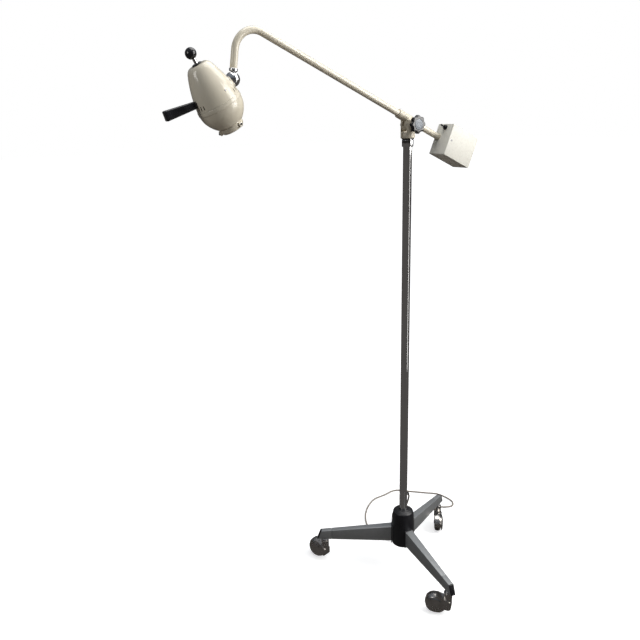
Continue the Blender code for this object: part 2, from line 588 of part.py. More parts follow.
def make_box(finish, boom, toggle_axis):
    """Transformer box at the boom's rear end: shell, cover, transformer and switch."""
    start, height = boom_line()
    low = Vector((start + BOX_FACE, BOX_SHIFT_Y - BOX_DEPTH / 2, height + BOX_SHIFT_Z - BOX_HEIGHT / 2))
    high = low + Vector((BOX_LENGTH, BOX_DEPTH, BOX_HEIGHT))
    front = low.y + SHEET + GAP
    shell = soften(box((low.x, front, low.z), high), 1.2 * MM)
    case = add_mesh("box_shell", shell, finish["box_paint"], boom, smooth=False)
    inside = box((low.x + SHEET, low.y - 0.01, low.z + SHEET), (high.x - SHEET, high.y - SHEET, high.z - SHEET))
    combine(case, add_mesh("box_inside", inside, None, boom, smooth=False), "DIFFERENCE")
    along = Matrix.Translation((low.x, 0.0, height)) @ turned("Y", 90.0)
    combine(case, add_mesh("boom_hole", cylinder(BOOM_R + GAP, -0.01, 0.01, 20), None, boom, along), "DIFFERENCE")
    at_switch = Matrix.Translation((low.x, SWITCH_Y, SWITCH_Z)) @ turned("Y", -90.0)
    combine(case, add_mesh("switch_hole", cylinder(6.3 * MM, -0.01, 0.01, 14), None, boom, at_switch), "DIFFERENCE")
    for row in range(2):
        for k in range(5):
            x = low.x + 0.020 + k * 0.022
            y = low.y + 0.018 + row * 0.036
            vent = box((x - 8 * MM, y - 2.2 * MM, low.z - 0.01), (x + 8 * MM, y + 2.2 * MM, low.z + 0.01))
            combine(case, add_mesh(f"vent_{row}_{k}", vent, None, boom, smooth=False), "DIFFERENCE")
    cover = soften(box((low.x + 0.2 * MM, low.y, low.z + 0.2 * MM), (high.x - 0.2 * MM, low.y + SHEET, high.z - 0.2 * MM)),
                   0.5 * MM)
    add_mesh("box_cover", cover, finish["box_paint"], boom, smooth=False)
    forward = turned("X", 90.0)
    screw = revolve([(0.0, GAP), (3.2 * MM, GAP), (3.4 * MM, 0.8 * MM), (2.4 * MM, 1.8 * MM), (0.0, 2.1 * MM)], 16)
    at_screw = Matrix.Translation((low.x + 12 * MM, low.y, (low.z + high.z) / 2)) @ forward
    add_mesh("cover_screw", screw, finish["steel"], boom, at_screw)
    middle = (low + high) / 2
    core = box((-30 * MM, -14 * MM, -25 * MM), (30 * MM, 14 * MM, 25 * MM))
    place = Matrix.Translation((middle.x + 14 * MM, middle.y + 4 * MM, low.z + 33 * MM))
    iron = add_mesh("transformer_core", core, finish["iron"], boom, place, smooth=False)
    for k, side in enumerate((-1, 1)):
        window = box((side * 15 * MM - 5 * MM, -0.03, -15 * MM), (side * 15 * MM + 5 * MM, 0.03, 15 * MM))
        combine(iron, add_mesh(f"core_window_{k}", window, None, boom, place, smooth=False), "DIFFERENCE")
    coil = box((-18.5 * MM, -22 * MM, -14.5 * MM), (18.5 * MM, 22 * MM, 14.5 * MM))
    winding = add_mesh("transformer_coil", coil, finish["copper"], boom, place, smooth=False)
    limb = box((-10.4 * MM, -14.4 * MM, -0.03), (10.4 * MM, 14.4 * MM, 0.03))
    combine(winding, add_mesh("coil_limb", limb, None, boom, place, smooth=False), "DIFFERENCE")
    nut = revolve([(4.0 * MM, GAP), (8.5 * MM, GAP), (9.0 * MM, 0.8 * MM), (9.0 * MM, 2.6 * MM), (8.5 * MM, 3.2 * MM),
                   (4.0 * MM, 3.2 * MM)], 12)
    body = add_mesh("switch_body", box((-10 * MM, -6.5 * MM, -20 * MM), (10 * MM, 6.5 * MM, -SHEET - GAP)),
                    finish["black"], boom, at_switch, smooth=False)
    barrel = cylinder(5.9 * MM, -SHEET - 2 * MM, 8.0 * MM, 12)
    combine(body, add_mesh("switch_barrel", barrel, None, boom, at_switch), "UNION")
    combine(body, add_mesh("switch_nut", nut, None, boom, at_switch), "UNION")
    throat = revolve([(0.0, -8.0 * MM), (3.6 * MM, -8.0 * MM), (3.6 * MM, 2.0 * MM), (4.6 * MM, 9.0 * MM), (0.0, 9.0 * MM)], 10)
    combine(body, add_mesh("switch_throat", throat, None, boom, at_switch), "DIFFERENCE")
    lever = revolve([(0.0, -3.0 * MM), (1.6 * MM, -2.6 * MM), (2.0 * MM, 0.0), (2.0 * MM, 12.0 * MM), (2.9 * MM, 17.0 * MM),
                     (3.3 * MM, 20.0 * MM), (2.6 * MM, 22.5 * MM), (0.0, 23.6 * MM)], 10)
    add_mesh("switch_lever", lever, finish["black"], toggle_axis)


# ---------------------------------------------------------------- knuckle and head
def head_radius(depth):
    """Return the head's outer radius in metres at a depth in mm below its flat top."""
    marks = HEAD_OUTLINE
    for k in range(len(marks) - 1):
        if depth <= marks[k + 1][0] or k == len(marks) - 2:
            break
    before = marks[max(k - 1, 0)]
    here, after = marks[k], marks[k + 1]
    beyond = marks[min(k + 2, len(marks) - 1)]
    span = after[0] - here[0]
    slope_in = (after[1] - before[1]) / (after[0] - before[0])
    slope_out = (beyond[1] - here[1]) / (beyond[0] - here[0])
    t = (depth - here[0]) / span
    value = ((2 * t ** 3 - 3 * t ** 2 + 1) * here[1] + (t ** 3 - 2 * t ** 2 + t) * span * slope_in
             + (3 * t ** 2 - 2 * t ** 3) * after[1] + (t ** 3 - t ** 2) * span * slope_out)
    return value * MM


def shell_outline(depths, wall, lip_in, lip_out):
    """Return the closed outline of a shell between the outer skin and its wall."""
    outer = [(head_radius(d), -d * MM) for d in depths]
    inner = [(head_radius(d) - wall, -d * MM) for d in depths]
    inner[0] = (inner[0][0], inner[0][1] - lip_in)
    inner[-1] = (inner[-1][0], inner[-1][1] + lip_out)
    return outer + inner[::-1]


def make_knuckle(finish, knuckle):
    """Tongue that turns in the neck's end and holds the head's pin."""
    shank = revolve([(0.0, 20.6 * MM), (6.0 * MM, 20.6 * MM), (6.0 * MM, 38.0 * MM), (5.0 * MM, 39.0 * MM),
                     (0.0, 39.0 * MM)], 14)
    tongue = add_mesh("knuckle_tongue", shank, finish["chrome"], knuckle)
    flat = box((-4.0 * MM, -4.2 * MM, 0.0), (4.0 * MM, 4.2 * MM, 22.0 * MM))
    combine(tongue, add_mesh("tongue_flat", flat, None, knuckle, smooth=False), "UNION")
    eye = cylinder(7.5 * MM, -4.6 * MM, 4.6 * MM, 18)
    combine(tongue, add_mesh("tongue_eye", eye, None, knuckle, turned("X", 90.0)), "UNION")
    bore = cylinder(3.2 * MM, -0.01, 0.01, 14)
    combine(tongue, add_mesh("tongue_bore", bore, None, knuckle, turned("X", 90.0)), "DIFFERENCE")


def make_head(finish, head, focus):
    """Lamp head: half-ball knuckle, two shells, light exit, optics, handle."""
    dome_marks = [(DOME_R * math.cos(math.radians(a)), DOME_R * math.sin(math.radians(a)))
                  for a in range(-60, 90, 20)]
    dome_marks = [(0.0, dome_marks[0][1])] + dome_marks + [(0.0, DOME_R)]
    outward = turned("Y", 90.0)
    dome = add_mesh("knuckle_dome", revolve(dome_marks, 18), finish["chrome"], head, outward)
    slot = box((-8.6 * MM, -4.9 * MM, -0.03), (0.03, 4.9 * MM, 0.03))
    combine(dome, add_mesh("dome_slot", slot, None, head, smooth=False), "DIFFERENCE")
    pin_bore = add_mesh("dome_bore", cylinder(3.2 * MM, -0.03, 0.03, 14), None, head, turned("X", 90.0))
    combine(dome, pin_bore, "DIFFERENCE")
    pin = cylinder(3.0 * MM, -17.5 * MM, 17.5 * MM, 14)
    add_mesh("knuckle_pin", pin, finish["steel"], head, turned("X", 90.0))

    axis = Matrix.Translation((-HEAD_OFFSET, 0.0, HEAD_TOP))
    depths = [1.2, 5.0, 12.0, 35.0, 60.0, 85.0, HEAD_SEAM]
    skin = shell_outline(depths, HEAD_WALL, 1.0 * MM, 0.0)
    flat_top = [(13.0 * MM, -2.2 * MM), (13.0 * MM, 0.0), (22.0 * MM, 0.0)]
    upper = add_mesh("head_upper", revolve(flat_top + skin, 26), finish["enamel"], head, axis)
    seat = [(r + GAP, h) for r, h in dome_marks[1:-1]]
    seat = [(0.0, seat[0][1])] + seat + [(0.0, DOME_R + GAP)]
    combine(upper, add_mesh("dome_seat", revolve(seat, 18), None, head, outward), "DIFFERENCE")
    for group in range(3):
        for k in range(-1, 2):
            turn = turned("Z", VENT_TURN + 120.0 * group + VENT_STEP * k)
            vent = box((0.054, -1.7 * MM, -98.5 * MM), (0.072, 1.7 * MM, -87.5 * MM))
            tool = add_mesh(f"head_vent_{group}_{k + 1}", vent, None, head, axis @ turn, smooth=False)
            combine(upper, tool, "DIFFERENCE")

    depths = [HEAD_SEAM + 0.3, 105.4, 115.4, 116.0, 127.0, 140.0, 153.0, 169.0]
    skin = shell_outline(depths, HEAD_WALL, 0.0, 0.0)
    bead = 0.9 * MM
    skin = [(r + bead if 1 <= k <= 2 else r, z) for k, (r, z) in enumerate(skin)]
    lower = add_mesh("head_lower", revolve(skin, 26), finish["enamel"], head, axis)

    exit_ring = revolve([(33.3 * MM, -164.5 * MM), (34.8 * MM, -164.5 * MM), (34.8 * MM, -171.5 * MM), (35.2 * MM, -171.8 * MM),
                         (34.0 * MM, -180.0 * MM), (30.5 * MM, -186.0 * MM), (29.0 * MM, -187.5 * MM),
                         (27.0 * MM, -187.5 * MM), (27.0 * MM, -184.5 * MM), (31.0 * MM, -180.0 * MM),
                         (31.0 * MM, -174.0 * MM), (33.3 * MM, -172.0 * MM)], 20)
    exit_piece = add_mesh("light_exit_ring", exit_ring, finish["enamel"], head, axis)
    for group in range(3):
        turn = turned("Z", LUG_TURN + 120.0 * group)
        lug = soften(box((33.5 * MM, -6.5 * MM, -185.0 * MM), (39.0 * MM, 6.5 * MM, -172.5 * MM)), 2.0 * MM)
        combine(exit_piece, add_mesh(f"exit_lug_{group}", lug, None, head, axis @ turn), "UNION")
        turn = axis @ turned("Z", LUG_TURN + 120.0 * group) @ Matrix.Translation((0.0, 0.0, -178.7 * MM)) @ turned("Y", 90.0)
        screw = revolve([(0.0, 39.3 * MM), (3.0 * MM, 39.3 * MM), (3.0 * MM, 40.6 * MM), (2.2 * MM, 41.6 * MM),
                         (0.0, 41.8 * MM)], 10)
        add_mesh(f"exit_screw_{group}", screw, finish["black"], head, turn)
    lens = revolve([(0.0, -181.0 * MM), (28.0 * MM, -179.8 * MM), (30.6 * MM, -178.8 * MM), (30.6 * MM, -175.0 * MM),
                    (24.0 * MM, -172.0 * MM), (12.0 * MM, -169.2 * MM), (0.0, -168.4 * MM)], 20)
    add_mesh("front_lens", lens, finish["glass"], head, axis)
    bowl = []
    for k in range(6):
        share = k / 5
        bowl.append((12.0 * MM + 46.0 * MM * share ** 0.8, -(46.0 + 62.0 * share ** 1.7) * MM))
    inner_bowl = [(r - 1.4 * MM, z - 0.4 * MM) for r, z in bowl]
    add_mesh("reflector", revolve(bowl + inner_bowl[::-1], 22), finish["mirror"], head, axis)
    plate = revolve([(5.2 * MM, GAP), (13.4 * MM, GAP), (13.7 * MM, 1.0 * MM), (13.7 * MM, 3.0 * MM), (12.9 * MM, 3.8 * MM),
                     (5.2 * MM, 3.8 * MM)], 20)
    add_mesh("focus_plate", plate, finish["black"], head, axis)

    stem = cylinder(4.7 * MM, -34.0 * MM, 19.0 * MM, 16)
    add_mesh("focus_stem", stem, finish["chrome"], focus)
    ball = [(15.0 * MM * math.cos(math.radians(a)), 31.0 * MM + 15.0 * MM * math.sin(math.radians(a)))
            for a in range(-60, 90, 20)]
    ball = [(0.0, 19.3 * MM), (6.5 * MM, 19.3 * MM)] + ball[1:] + [(0.0, 46.0 * MM)]
    knob = add_mesh("focus_knob", revolve(ball, 20), finish["knob"], focus)
    holder = revolve([(0.0, -62.0 * MM), (8.5 * MM, -62.0 * MM), (9.5 * MM, -61.0 * MM), (9.5 * MM, -37.0 * MM),
                      (7.5 * MM, -34.3 * MM), (0.0, -34.3 * MM)], 14)
    add_mesh("lamp_holder", holder, finish["ceramic"], focus)
    bulb = revolve([(0.0, -62.3 * MM), (6.0 * MM, -62.3 * MM), (7.0 * MM, -68.0 * MM), (11.5 * MM, -76.0 * MM),
                    (12.0 * MM, -83.0 * MM), (8.5 * MM, -90.0 * MM), (0.0, -93.0 * MM)], 14)
    add_mesh("bulb", bulb, finish["glass"], focus)
    make_handle(finish, head, axis, upper)


def make_handle(finish, head, axis, upper):
    """Black handle, wider at its outer end, held by a bolt through the shell."""
    station = 80.0
    lean = 12.0
    root_r = head_radius(station)
    frame = axis @ Matrix.Translation((-root_r, 0.0, -station * MM)) @ turned("Y", -90.0 + lean)
    bm = bmesh.new()
    marks = ((0.9 * MM, 8.3 * MM, 9.5 * MM), (93.0 * MM, 9.5 * MM, 13.4 * MM))
    loops = []
    for z, half_y, half_x in marks:
        loops.append([bm.verts.new((sx * half_x, sy * half_y, z)) for sx, sy in ((-1, -1), (1, -1), (1, 1), (-1, 1))])
    bm.faces.new(loops[0])
    bm.faces.new(loops[1])
    for k in range(4):
        n = (k + 1) % 4
        bm.faces.new((loops[0][k], loops[0][n], loops[1][n], loops[1][k]))
    grip = add_mesh("handle", soften(bm, 3.0 * MM, 2), finish["knob"], head, frame)
    bore = cylinder(4.3 * MM, -0.01, 0.030, 14)
    combine(grip, add_mesh("handle_bore", bore, None, head, frame), "DIFFERENCE")
    wall_hole = cylinder(4.3 * MM, -0.012, 0.008, 14)
    combine(upper, add_mesh("handle_hole", wall_hole, None, head, frame), "DIFFERENCE")
    bolt = revolve([(0.0, -8.0 * MM), (7.0 * MM, -8.0 * MM), (7.0 * MM, -4.2 * MM), (4.0 * MM, -4.2 * MM), (4.0 * MM, 28.0 * MM),
                    (0.0, 28.0 * MM)], 14)
    add_mesh("handle_bolt", bolt, finish["steel"], head, frame)


# ---------------------------------------------------------------- places on the stand
COIL_CENTRE = (0.1312, 0.1509, 0.0)
PLUG_TURN = 49.0
PLUG_PLACE = (0.1580, 0.2290, 18.8 * MM)
SWITCH_Y = -22.0 * MM
SWITCH_Z = 48.5 * MM
# The lead's route from the strain relief's tip down to the floor, round, and to the coil.
CORD_ROUTE = [
    (0.0466, 0.0238, 0.2831), (0.0513, 0.0261, 0.2752), (0.0590, 0.0345, 0.2600), (0.0650, 0.0460, 0.2360),
    (0.0662, 0.0610, 0.1950), (0.0632, 0.0745, 0.1430), (0.0577, 0.0877, 0.0900), (0.0523, 0.1029, 0.0450), (0.0461, 0.1216, 0.0150),
    (0.0389, 0.1438, 0.0036), (0.0305, 0.1723, 0.0036), (0.0242, 0.2108, 0.0036), (0.0261, 0.2556, 0.0036),
    (0.0436, 0.2986, 0.0036), (0.0766, 0.3442, 0.0036), (0.1220, 0.3842, 0.0036), (0.1788, 0.4130, 0.0036),
    (0.2376, 0.4136, 0.0036), (0.3070, 0.4142, 0.0036), (0.3525, 0.3720, 0.0036), (0.4089, 0.3150, 0.0036),
    (0.4487, 0.2738, 0.0036), (0.4622, 0.2223, 0.0036), (0.4592, 0.1838, 0.0036), (0.4352, 0.1623, 0.0036),
    (0.4032, 0.1742, 0.0036), (0.3710, 0.1982, 0.0036), (0.3271, 0.2086, 0.0036), (0.2731, 0.1998, 0.0036),
    (0.2292, 0.1784, 0.0036), (0.1966, 0.1537, 0.0036), (0.1764, 0.1316, 0.0036),
]


def main():
    """Build the whole light around its base frame."""
    clear_scene()
    finish = make_materials()
    root = pivot("stand_frame", None, POLE_FOOT)
    make_hub(finish, root)
    make_legs(finish, root)
    make_pole(finish, root)
    make_cord(finish, root)
    for side in LEG_ANGLES:
        make_caster(side, finish, root)
    swivel = pivot("boom_swivel", root)
    make_fork(finish, swivel)
    knob_axis = pivot("star_knob_axis", swivel, (0.0, 0.0, HINGE_Z))
    make_star_knob(finish, knob_axis)
    boom = pivot("boom_hinge", swivel, (0.0, 0.0, HINGE_Z), turn_y=BOOM_TILT)
    make_boom(finish, boom)
    start, height = boom_line()
    toggle = pivot("switch_hinge", boom, (start + BOX_FACE, SWITCH_Y, SWITCH_Z), turn_y=-90.0)
    make_box(finish, boom, toggle)
    corner, neck = neck_frame()
    knuckle = pivot("neck_swivel", boom, corner + neck * NECK_TO_KNUCKLE, turn_y=90.0 - NECK_TURN)
    make_knuckle(finish, knuckle)
    head = pivot("head_hinge", knuckle, turn_y=HEAD_TILT)
    focus = pivot("focus_slide", head, (-HEAD_OFFSET, 0.0, HEAD_TOP))
    make_head(finish, head, focus)


main()
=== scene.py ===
"""Looks of a mobile surgical light: castor stand, chrome pole, tilting boom and lamp head.

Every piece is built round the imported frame, in metres, with +Z up. The boom lies in the
XZ plane at rest, with the lamp head towards -X and the transformer box towards +X.
"""
from __future__ import annotations

import json
import logging
import math
from dataclasses import dataclass
from enum import Enum

import bmesh
import bpy
from bmesh.types import BMesh, BMVert
from bpy.types import Material, Node, NodeSocket, NodeTree, Object
from mathutils import Matrix, Vector

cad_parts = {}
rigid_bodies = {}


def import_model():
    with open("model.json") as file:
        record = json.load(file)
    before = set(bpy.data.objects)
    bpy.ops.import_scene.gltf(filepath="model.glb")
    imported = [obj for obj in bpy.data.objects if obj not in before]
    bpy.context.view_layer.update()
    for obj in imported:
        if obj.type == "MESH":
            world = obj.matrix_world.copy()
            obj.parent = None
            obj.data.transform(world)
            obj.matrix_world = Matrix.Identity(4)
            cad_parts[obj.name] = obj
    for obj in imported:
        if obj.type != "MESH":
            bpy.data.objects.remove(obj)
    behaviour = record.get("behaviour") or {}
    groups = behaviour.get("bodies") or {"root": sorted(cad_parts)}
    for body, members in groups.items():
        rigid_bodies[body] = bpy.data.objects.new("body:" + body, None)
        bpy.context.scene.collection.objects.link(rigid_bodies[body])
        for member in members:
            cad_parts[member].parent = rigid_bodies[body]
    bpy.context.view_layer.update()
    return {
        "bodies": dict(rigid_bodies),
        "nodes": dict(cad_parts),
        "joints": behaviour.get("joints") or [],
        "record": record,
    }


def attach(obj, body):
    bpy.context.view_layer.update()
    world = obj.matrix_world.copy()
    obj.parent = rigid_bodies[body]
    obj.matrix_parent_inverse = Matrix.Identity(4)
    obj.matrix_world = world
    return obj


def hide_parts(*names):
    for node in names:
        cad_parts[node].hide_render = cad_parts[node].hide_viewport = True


log = logging.getLogger("surgical_light")

MM = 0.001
POLE_FOOT = (0.2490, 0.0292)
DUST_COLOR = (0.42, 0.40, 0.37)
COAT_ROUGHNESS = 0.08
GLASS_IOR = 1.5
Profile = list[tuple[float, float]]


class Coating(Enum):
    """How a surface is finished, which decides its shader settings."""

    PAINT = "paint"
    METAL = "metal"
    PLASTIC = "plastic"
    GLASS = "glass"


# ---------------------------------------------------------------- meshes
def rounded(corners: list[tuple[float, float, float]], steps: int = 5) -> Profile:
    """Round the corners of an outline.

    Args:
        corners: radius, height and fillet radius of each corner.
        steps: segments in each fillet.

    Returns:
        The outline as radius and height pairs.
    """
    made: Profile = []
    count = len(corners)
    for k, (radius, height, fillet) in enumerate(corners):
        here = Vector((radius, height))
        before = Vector(corners[k - 1][:2]) - here
        after = Vector(corners[(k + 1) % count][:2]) - here
        if fillet <= 0.0 or before.length < 1e-9 or after.length < 1e-9:
            made.append((radius, height))
            continue
        angle = before.angle(after)
        if angle > math.pi - 1e-3:
            made.append((radius, height))
            continue
        setback = min(fillet / math.tan(angle / 2.0), 0.48 * before.length, 0.48 * after.length)
        first, last = here + before.normalized() * setback, here + after.normalized() * setback
        for n in range(steps + 1):
            t = n / steps
            point = first * (1 - t) ** 2 + here * (2 * t * (1 - t)) + last * t ** 2
            made.append((max(point.x, 0.0), point.y))
    return made


def mm(points: list[tuple[float, ...]]) -> list[tuple[float, ...]]:
    """Return points that are given in millimetres as metres."""
    return [tuple(value * MM for value in point) for point in points]


def stepped(profile: Profile, longest: float) -> Profile:
    """Split an outline's long edges into short ones.

    Args:
        profile: radius and height of each corner, in order.
        longest: the most that an edge may measure.

    Returns:
        The outline with extra corners on its long edges.
    """
    points = []
    for (r0, z0), (r1, z1) in zip(profile, profile[1:] + profile[:1]):
        parts = max(1, math.ceil(math.hypot(r1 - r0, z1 - z0) / longest))
        points += [(r0 + (r1 - r0) * k / parts, z0 + (z1 - z0) * k / parts) for k in range(parts)]
    return points


def lathe(profile: Profile, sides: int = 72) -> BMesh:
    """Turn a closed outline about Z.

    Args:
        profile: radius and height of each corner, in order round the outline.
        sides: segments round the axis.

    Returns:
        A closed mesh.
    """
    bm = bmesh.new()
    rings = []
    for radius, height in profile:
        if radius < 1e-7:
            rings.append([bm.verts.new((0.0, 0.0, height))])
            continue
        rings.append([bm.verts.new((radius * math.cos(2 * math.pi * k / sides),
                                    radius * math.sin(2 * math.pi * k / sides), height))
                      for k in range(sides)])
    for low, high in zip(rings, rings[1:] + rings[:1]):
        if len(low) == 1 and len(high) == 1:
            continue
        for k in range(sides):
            n = (k + 1) % sides
            if len(low) == 1:
                bm.faces.new((low[0], high[k], high[n]))
            elif len(high) == 1:
                bm.faces.new((low[k], low[n], high[0]))
            else:
                bm.faces.new((low[k], low[n], high[n], high[k]))
    bmesh.ops.recalc_face_normals(bm, faces=bm.faces)
    return bm


def block(low: tuple[float, float, float], high: tuple[float, float, float],
          edge: float = 0.0, segments: int = 3) -> BMesh:
    """Return a box between two corners, its edges rounded where asked."""
    bm = bmesh.new()
    for vert in bmesh.ops.create_cube(bm, size=1.0)["verts"]:
        vert.co = Vector(low[k] + (vert.co[k] + 0.5) * (high[k] - low[k]) for k in range(3))
    return soften(bm, edge, segments) if edge > 0.0 else bm


def soften(bm: BMesh, width: float, segments: int = 3) -> BMesh:
    """Round every edge of a plain solid."""
    bmesh.ops.bevel(bm, geom=list(bm.edges), offset=width, offset_type="OFFSET", segments=segments,
                    profile=0.5, affect="EDGES", clamp_overlap=True)
    return bm


def prism(outline: Profile, low: float, high: float) -> BMesh:
    """Extrude a flat outline along Z."""
    bm = bmesh.new()
    face = bm.faces.new([bm.verts.new((x, y, low)) for x, y in outline])
    grown = bmesh.ops.extrude_face_region(bm, geom=[face])["geom"]
    for vert in (g for g in grown if isinstance(g, BMVert)):
        vert.co.z = high
    bmesh.ops.recalc_face_normals(bm, faces=bm.faces)
    return bm


def hull_bar(loops: list[list[tuple[float, float, float]]]) -> BMesh:
    """Join four-cornered sections into a closed bar."""
    bm = bmesh.new()
    rings = [[bm.verts.new(p) for p in loop] for loop in loops]
    bm.faces.new(rings[0])
    bm.faces.new(rings[-1])
    for low, high in zip(rings, rings[1:]):
        for k in range(4):
            n = (k + 1) % 4
            bm.faces.new((low[k], low[n], high[n], high[k]))
    bmesh.ops.recalc_face_normals(bm, faces=bm.faces)
    return bm


def tapered_sweep(path: list[Vector], radii: list[float], sides: int = 28) -> BMesh:
    """Run a round section of changing radius along a path."""
    bm = bmesh.new()
    side = (path[1] - path[0]).orthogonal().normalized()
    rings = []
    for k, centre in enumerate(path):
        along = (path[min(k + 1, len(path) - 1)] - path[max(k - 1, 0)]).normalized()
        side = (side - along * side.dot(along)).normalized()
        across = along.cross(side)
        rings.append([bm.verts.new(centre + (side * math.cos(2 * math.pi * n / sides)
                                             + across * math.sin(2 * math.pi * n / sides)) * radii[k])
                      for n in range(sides)])
    for low, high in zip(rings, rings[1:]):
        for n in range(sides):
            m = (n + 1) % sides
            bm.faces.new((low[n], low[m], high[m], high[n]))
    bm.faces.new(rings[0])
    bm.faces.new(rings[-1])
    bmesh.ops.recalc_face_normals(bm, faces=bm.faces)
    return bm


def smooth_curve(points: list[Vector], steps: int) -> list[Vector]:
    """Return a smooth curve through the points, with that many steps between neighbours."""
    ends = [points[0] * 2.0 - points[1]] + points + [points[-1] * 2.0 - points[-2]]
    made = []
    for a, b, c, d in zip(ends, ends[1:], ends[2:], ends[3:]):
        for k in range(steps):
            t = k / steps
            made.append(0.5 * (b * 2.0 + (c - a) * t + (a * 2.0 - b * 5.0 + c * 4.0 - d) * t ** 2
                               + (b * 3.0 - a - c * 3.0 + d) * t ** 3))
    made.append(points[-1].copy())
    return made


def smoothstep(value: float) -> float:
    """Return a soft step from 0 to 1."""
    t = min(max(value, 0.0), 1.0)
    return t * t * (3.0 - 2.0 * t)


def moved(x: float, y: float, z: float) -> Matrix:
    """Return a move."""
    return Matrix.Translation((x, y, z))


def turned(axis: str, degrees: float, origin: tuple[float, float, float] = (0.0, 0.0, 0.0)) -> Matrix:
    """Return a turn about an axis followed by a move."""
    return Matrix.Translation(origin) @ Matrix.Rotation(math.radians(degrees), 4, axis)


def as_object(name: str, bm: BMesh, matrix: Matrix | None = None) -> Object:
    """Make a linked object from a bmesh, its place baked into the mesh."""
    if matrix is not None:
        bmesh.ops.transform(bm, matrix=matrix, verts=bm.verts)
    mesh = bpy.data.meshes.new(name)
    bm.to_mesh(mesh)
    bm.free()
    made = bpy.data.objects.new(name, mesh)
    bpy.context.scene.collection.objects.link(made)
    return made


def settle(piece: Object) -> Object:
    """Apply every modifier on a piece to its mesh."""
    bpy.context.view_layer.update()
    mesh = bpy.data.meshes.new_from_object(piece.evaluated_get(bpy.context.evaluated_depsgraph_get()))
    piece.modifiers.clear()
    mesh.name = piece.name
    piece.data = mesh
    return piece


def carve(piece: Object, tools: list[tuple[str, Object]]) -> Object:
    """Add or cut tools with Booleans, apply them, and remove the tools.

    Args:
        piece: the piece that is changed.
        tools: pairs of a Boolean operation and the tool object.

    Returns:
        The changed piece.
    """
    for operation, tool in tools:
        step = piece.modifiers.new(operation.title(), "BOOLEAN")
        step.operation = operation
        step.solver = "EXACT"
        step.object = tool
    settle(piece)
    for _, tool in tools:
        bpy.data.objects.remove(tool, do_unlink=True)
    return piece


def ease_edges(piece: Object, width: float, segments: int, degrees: float) -> Object:
    """Round a piece's edges that are bent more than an angle, and apply it."""
    edge = piece.modifiers.new("edge", "BEVEL")
    edge.width, edge.segments = width, segments
    edge.limit_method, edge.angle_limit = "ANGLE", math.radians(degrees)
    return settle(piece)


# ---------------------------------------------------------------- node trees
class Graph:
    """A thin layer over a node tree that adds and joins nodes."""

    def __init__(self, tree: NodeTree) -> None:
        """Keep the tree."""
        self.tree = tree

    def add(self, kind: str, inputs: dict | None = None, **settings: object) -> Node:
        """Add a node.

        Args:
            kind: the node's type name.
            inputs: values, output sockets, or nodes whose first output is meant, by input name or number.
            settings: attributes to set on the node.

        Returns:
            The new node.
        """
        node = self.tree.nodes.new(kind)
        for key, value in settings.items():
            setattr(node, key, value)
        for key, value in (inputs or {}).items():
            if isinstance(value, (Node, NodeSocket)):
                self.join(value, node.inputs[key])
            else:
                node.inputs[key].default_value = value
        return node

    def join(self, source: Node | NodeSocket, target: NodeSocket) -> None:
        """Link an output socket, or a node's first one, to an input."""
        self.tree.links.new(source.outputs[0] if isinstance(source, Node) else source, target)


def shader_group(name: str, inputs: list[tuple[str, str, object]],
                 outputs: list[tuple[str, str]]) -> tuple[NodeTree, Graph]:
    """Start a shader node group with named sockets."""
    tree = bpy.data.node_groups.new(name, "ShaderNodeTree")
    for label, kind, value in inputs:
        socket = tree.interface.new_socket(label, in_out="INPUT", socket_type=kind)
        socket.default_value = value
    for label, kind in outputs:
        tree.interface.new_socket(label, in_out="OUTPUT", socket_type=kind)
    return tree, Graph(tree)


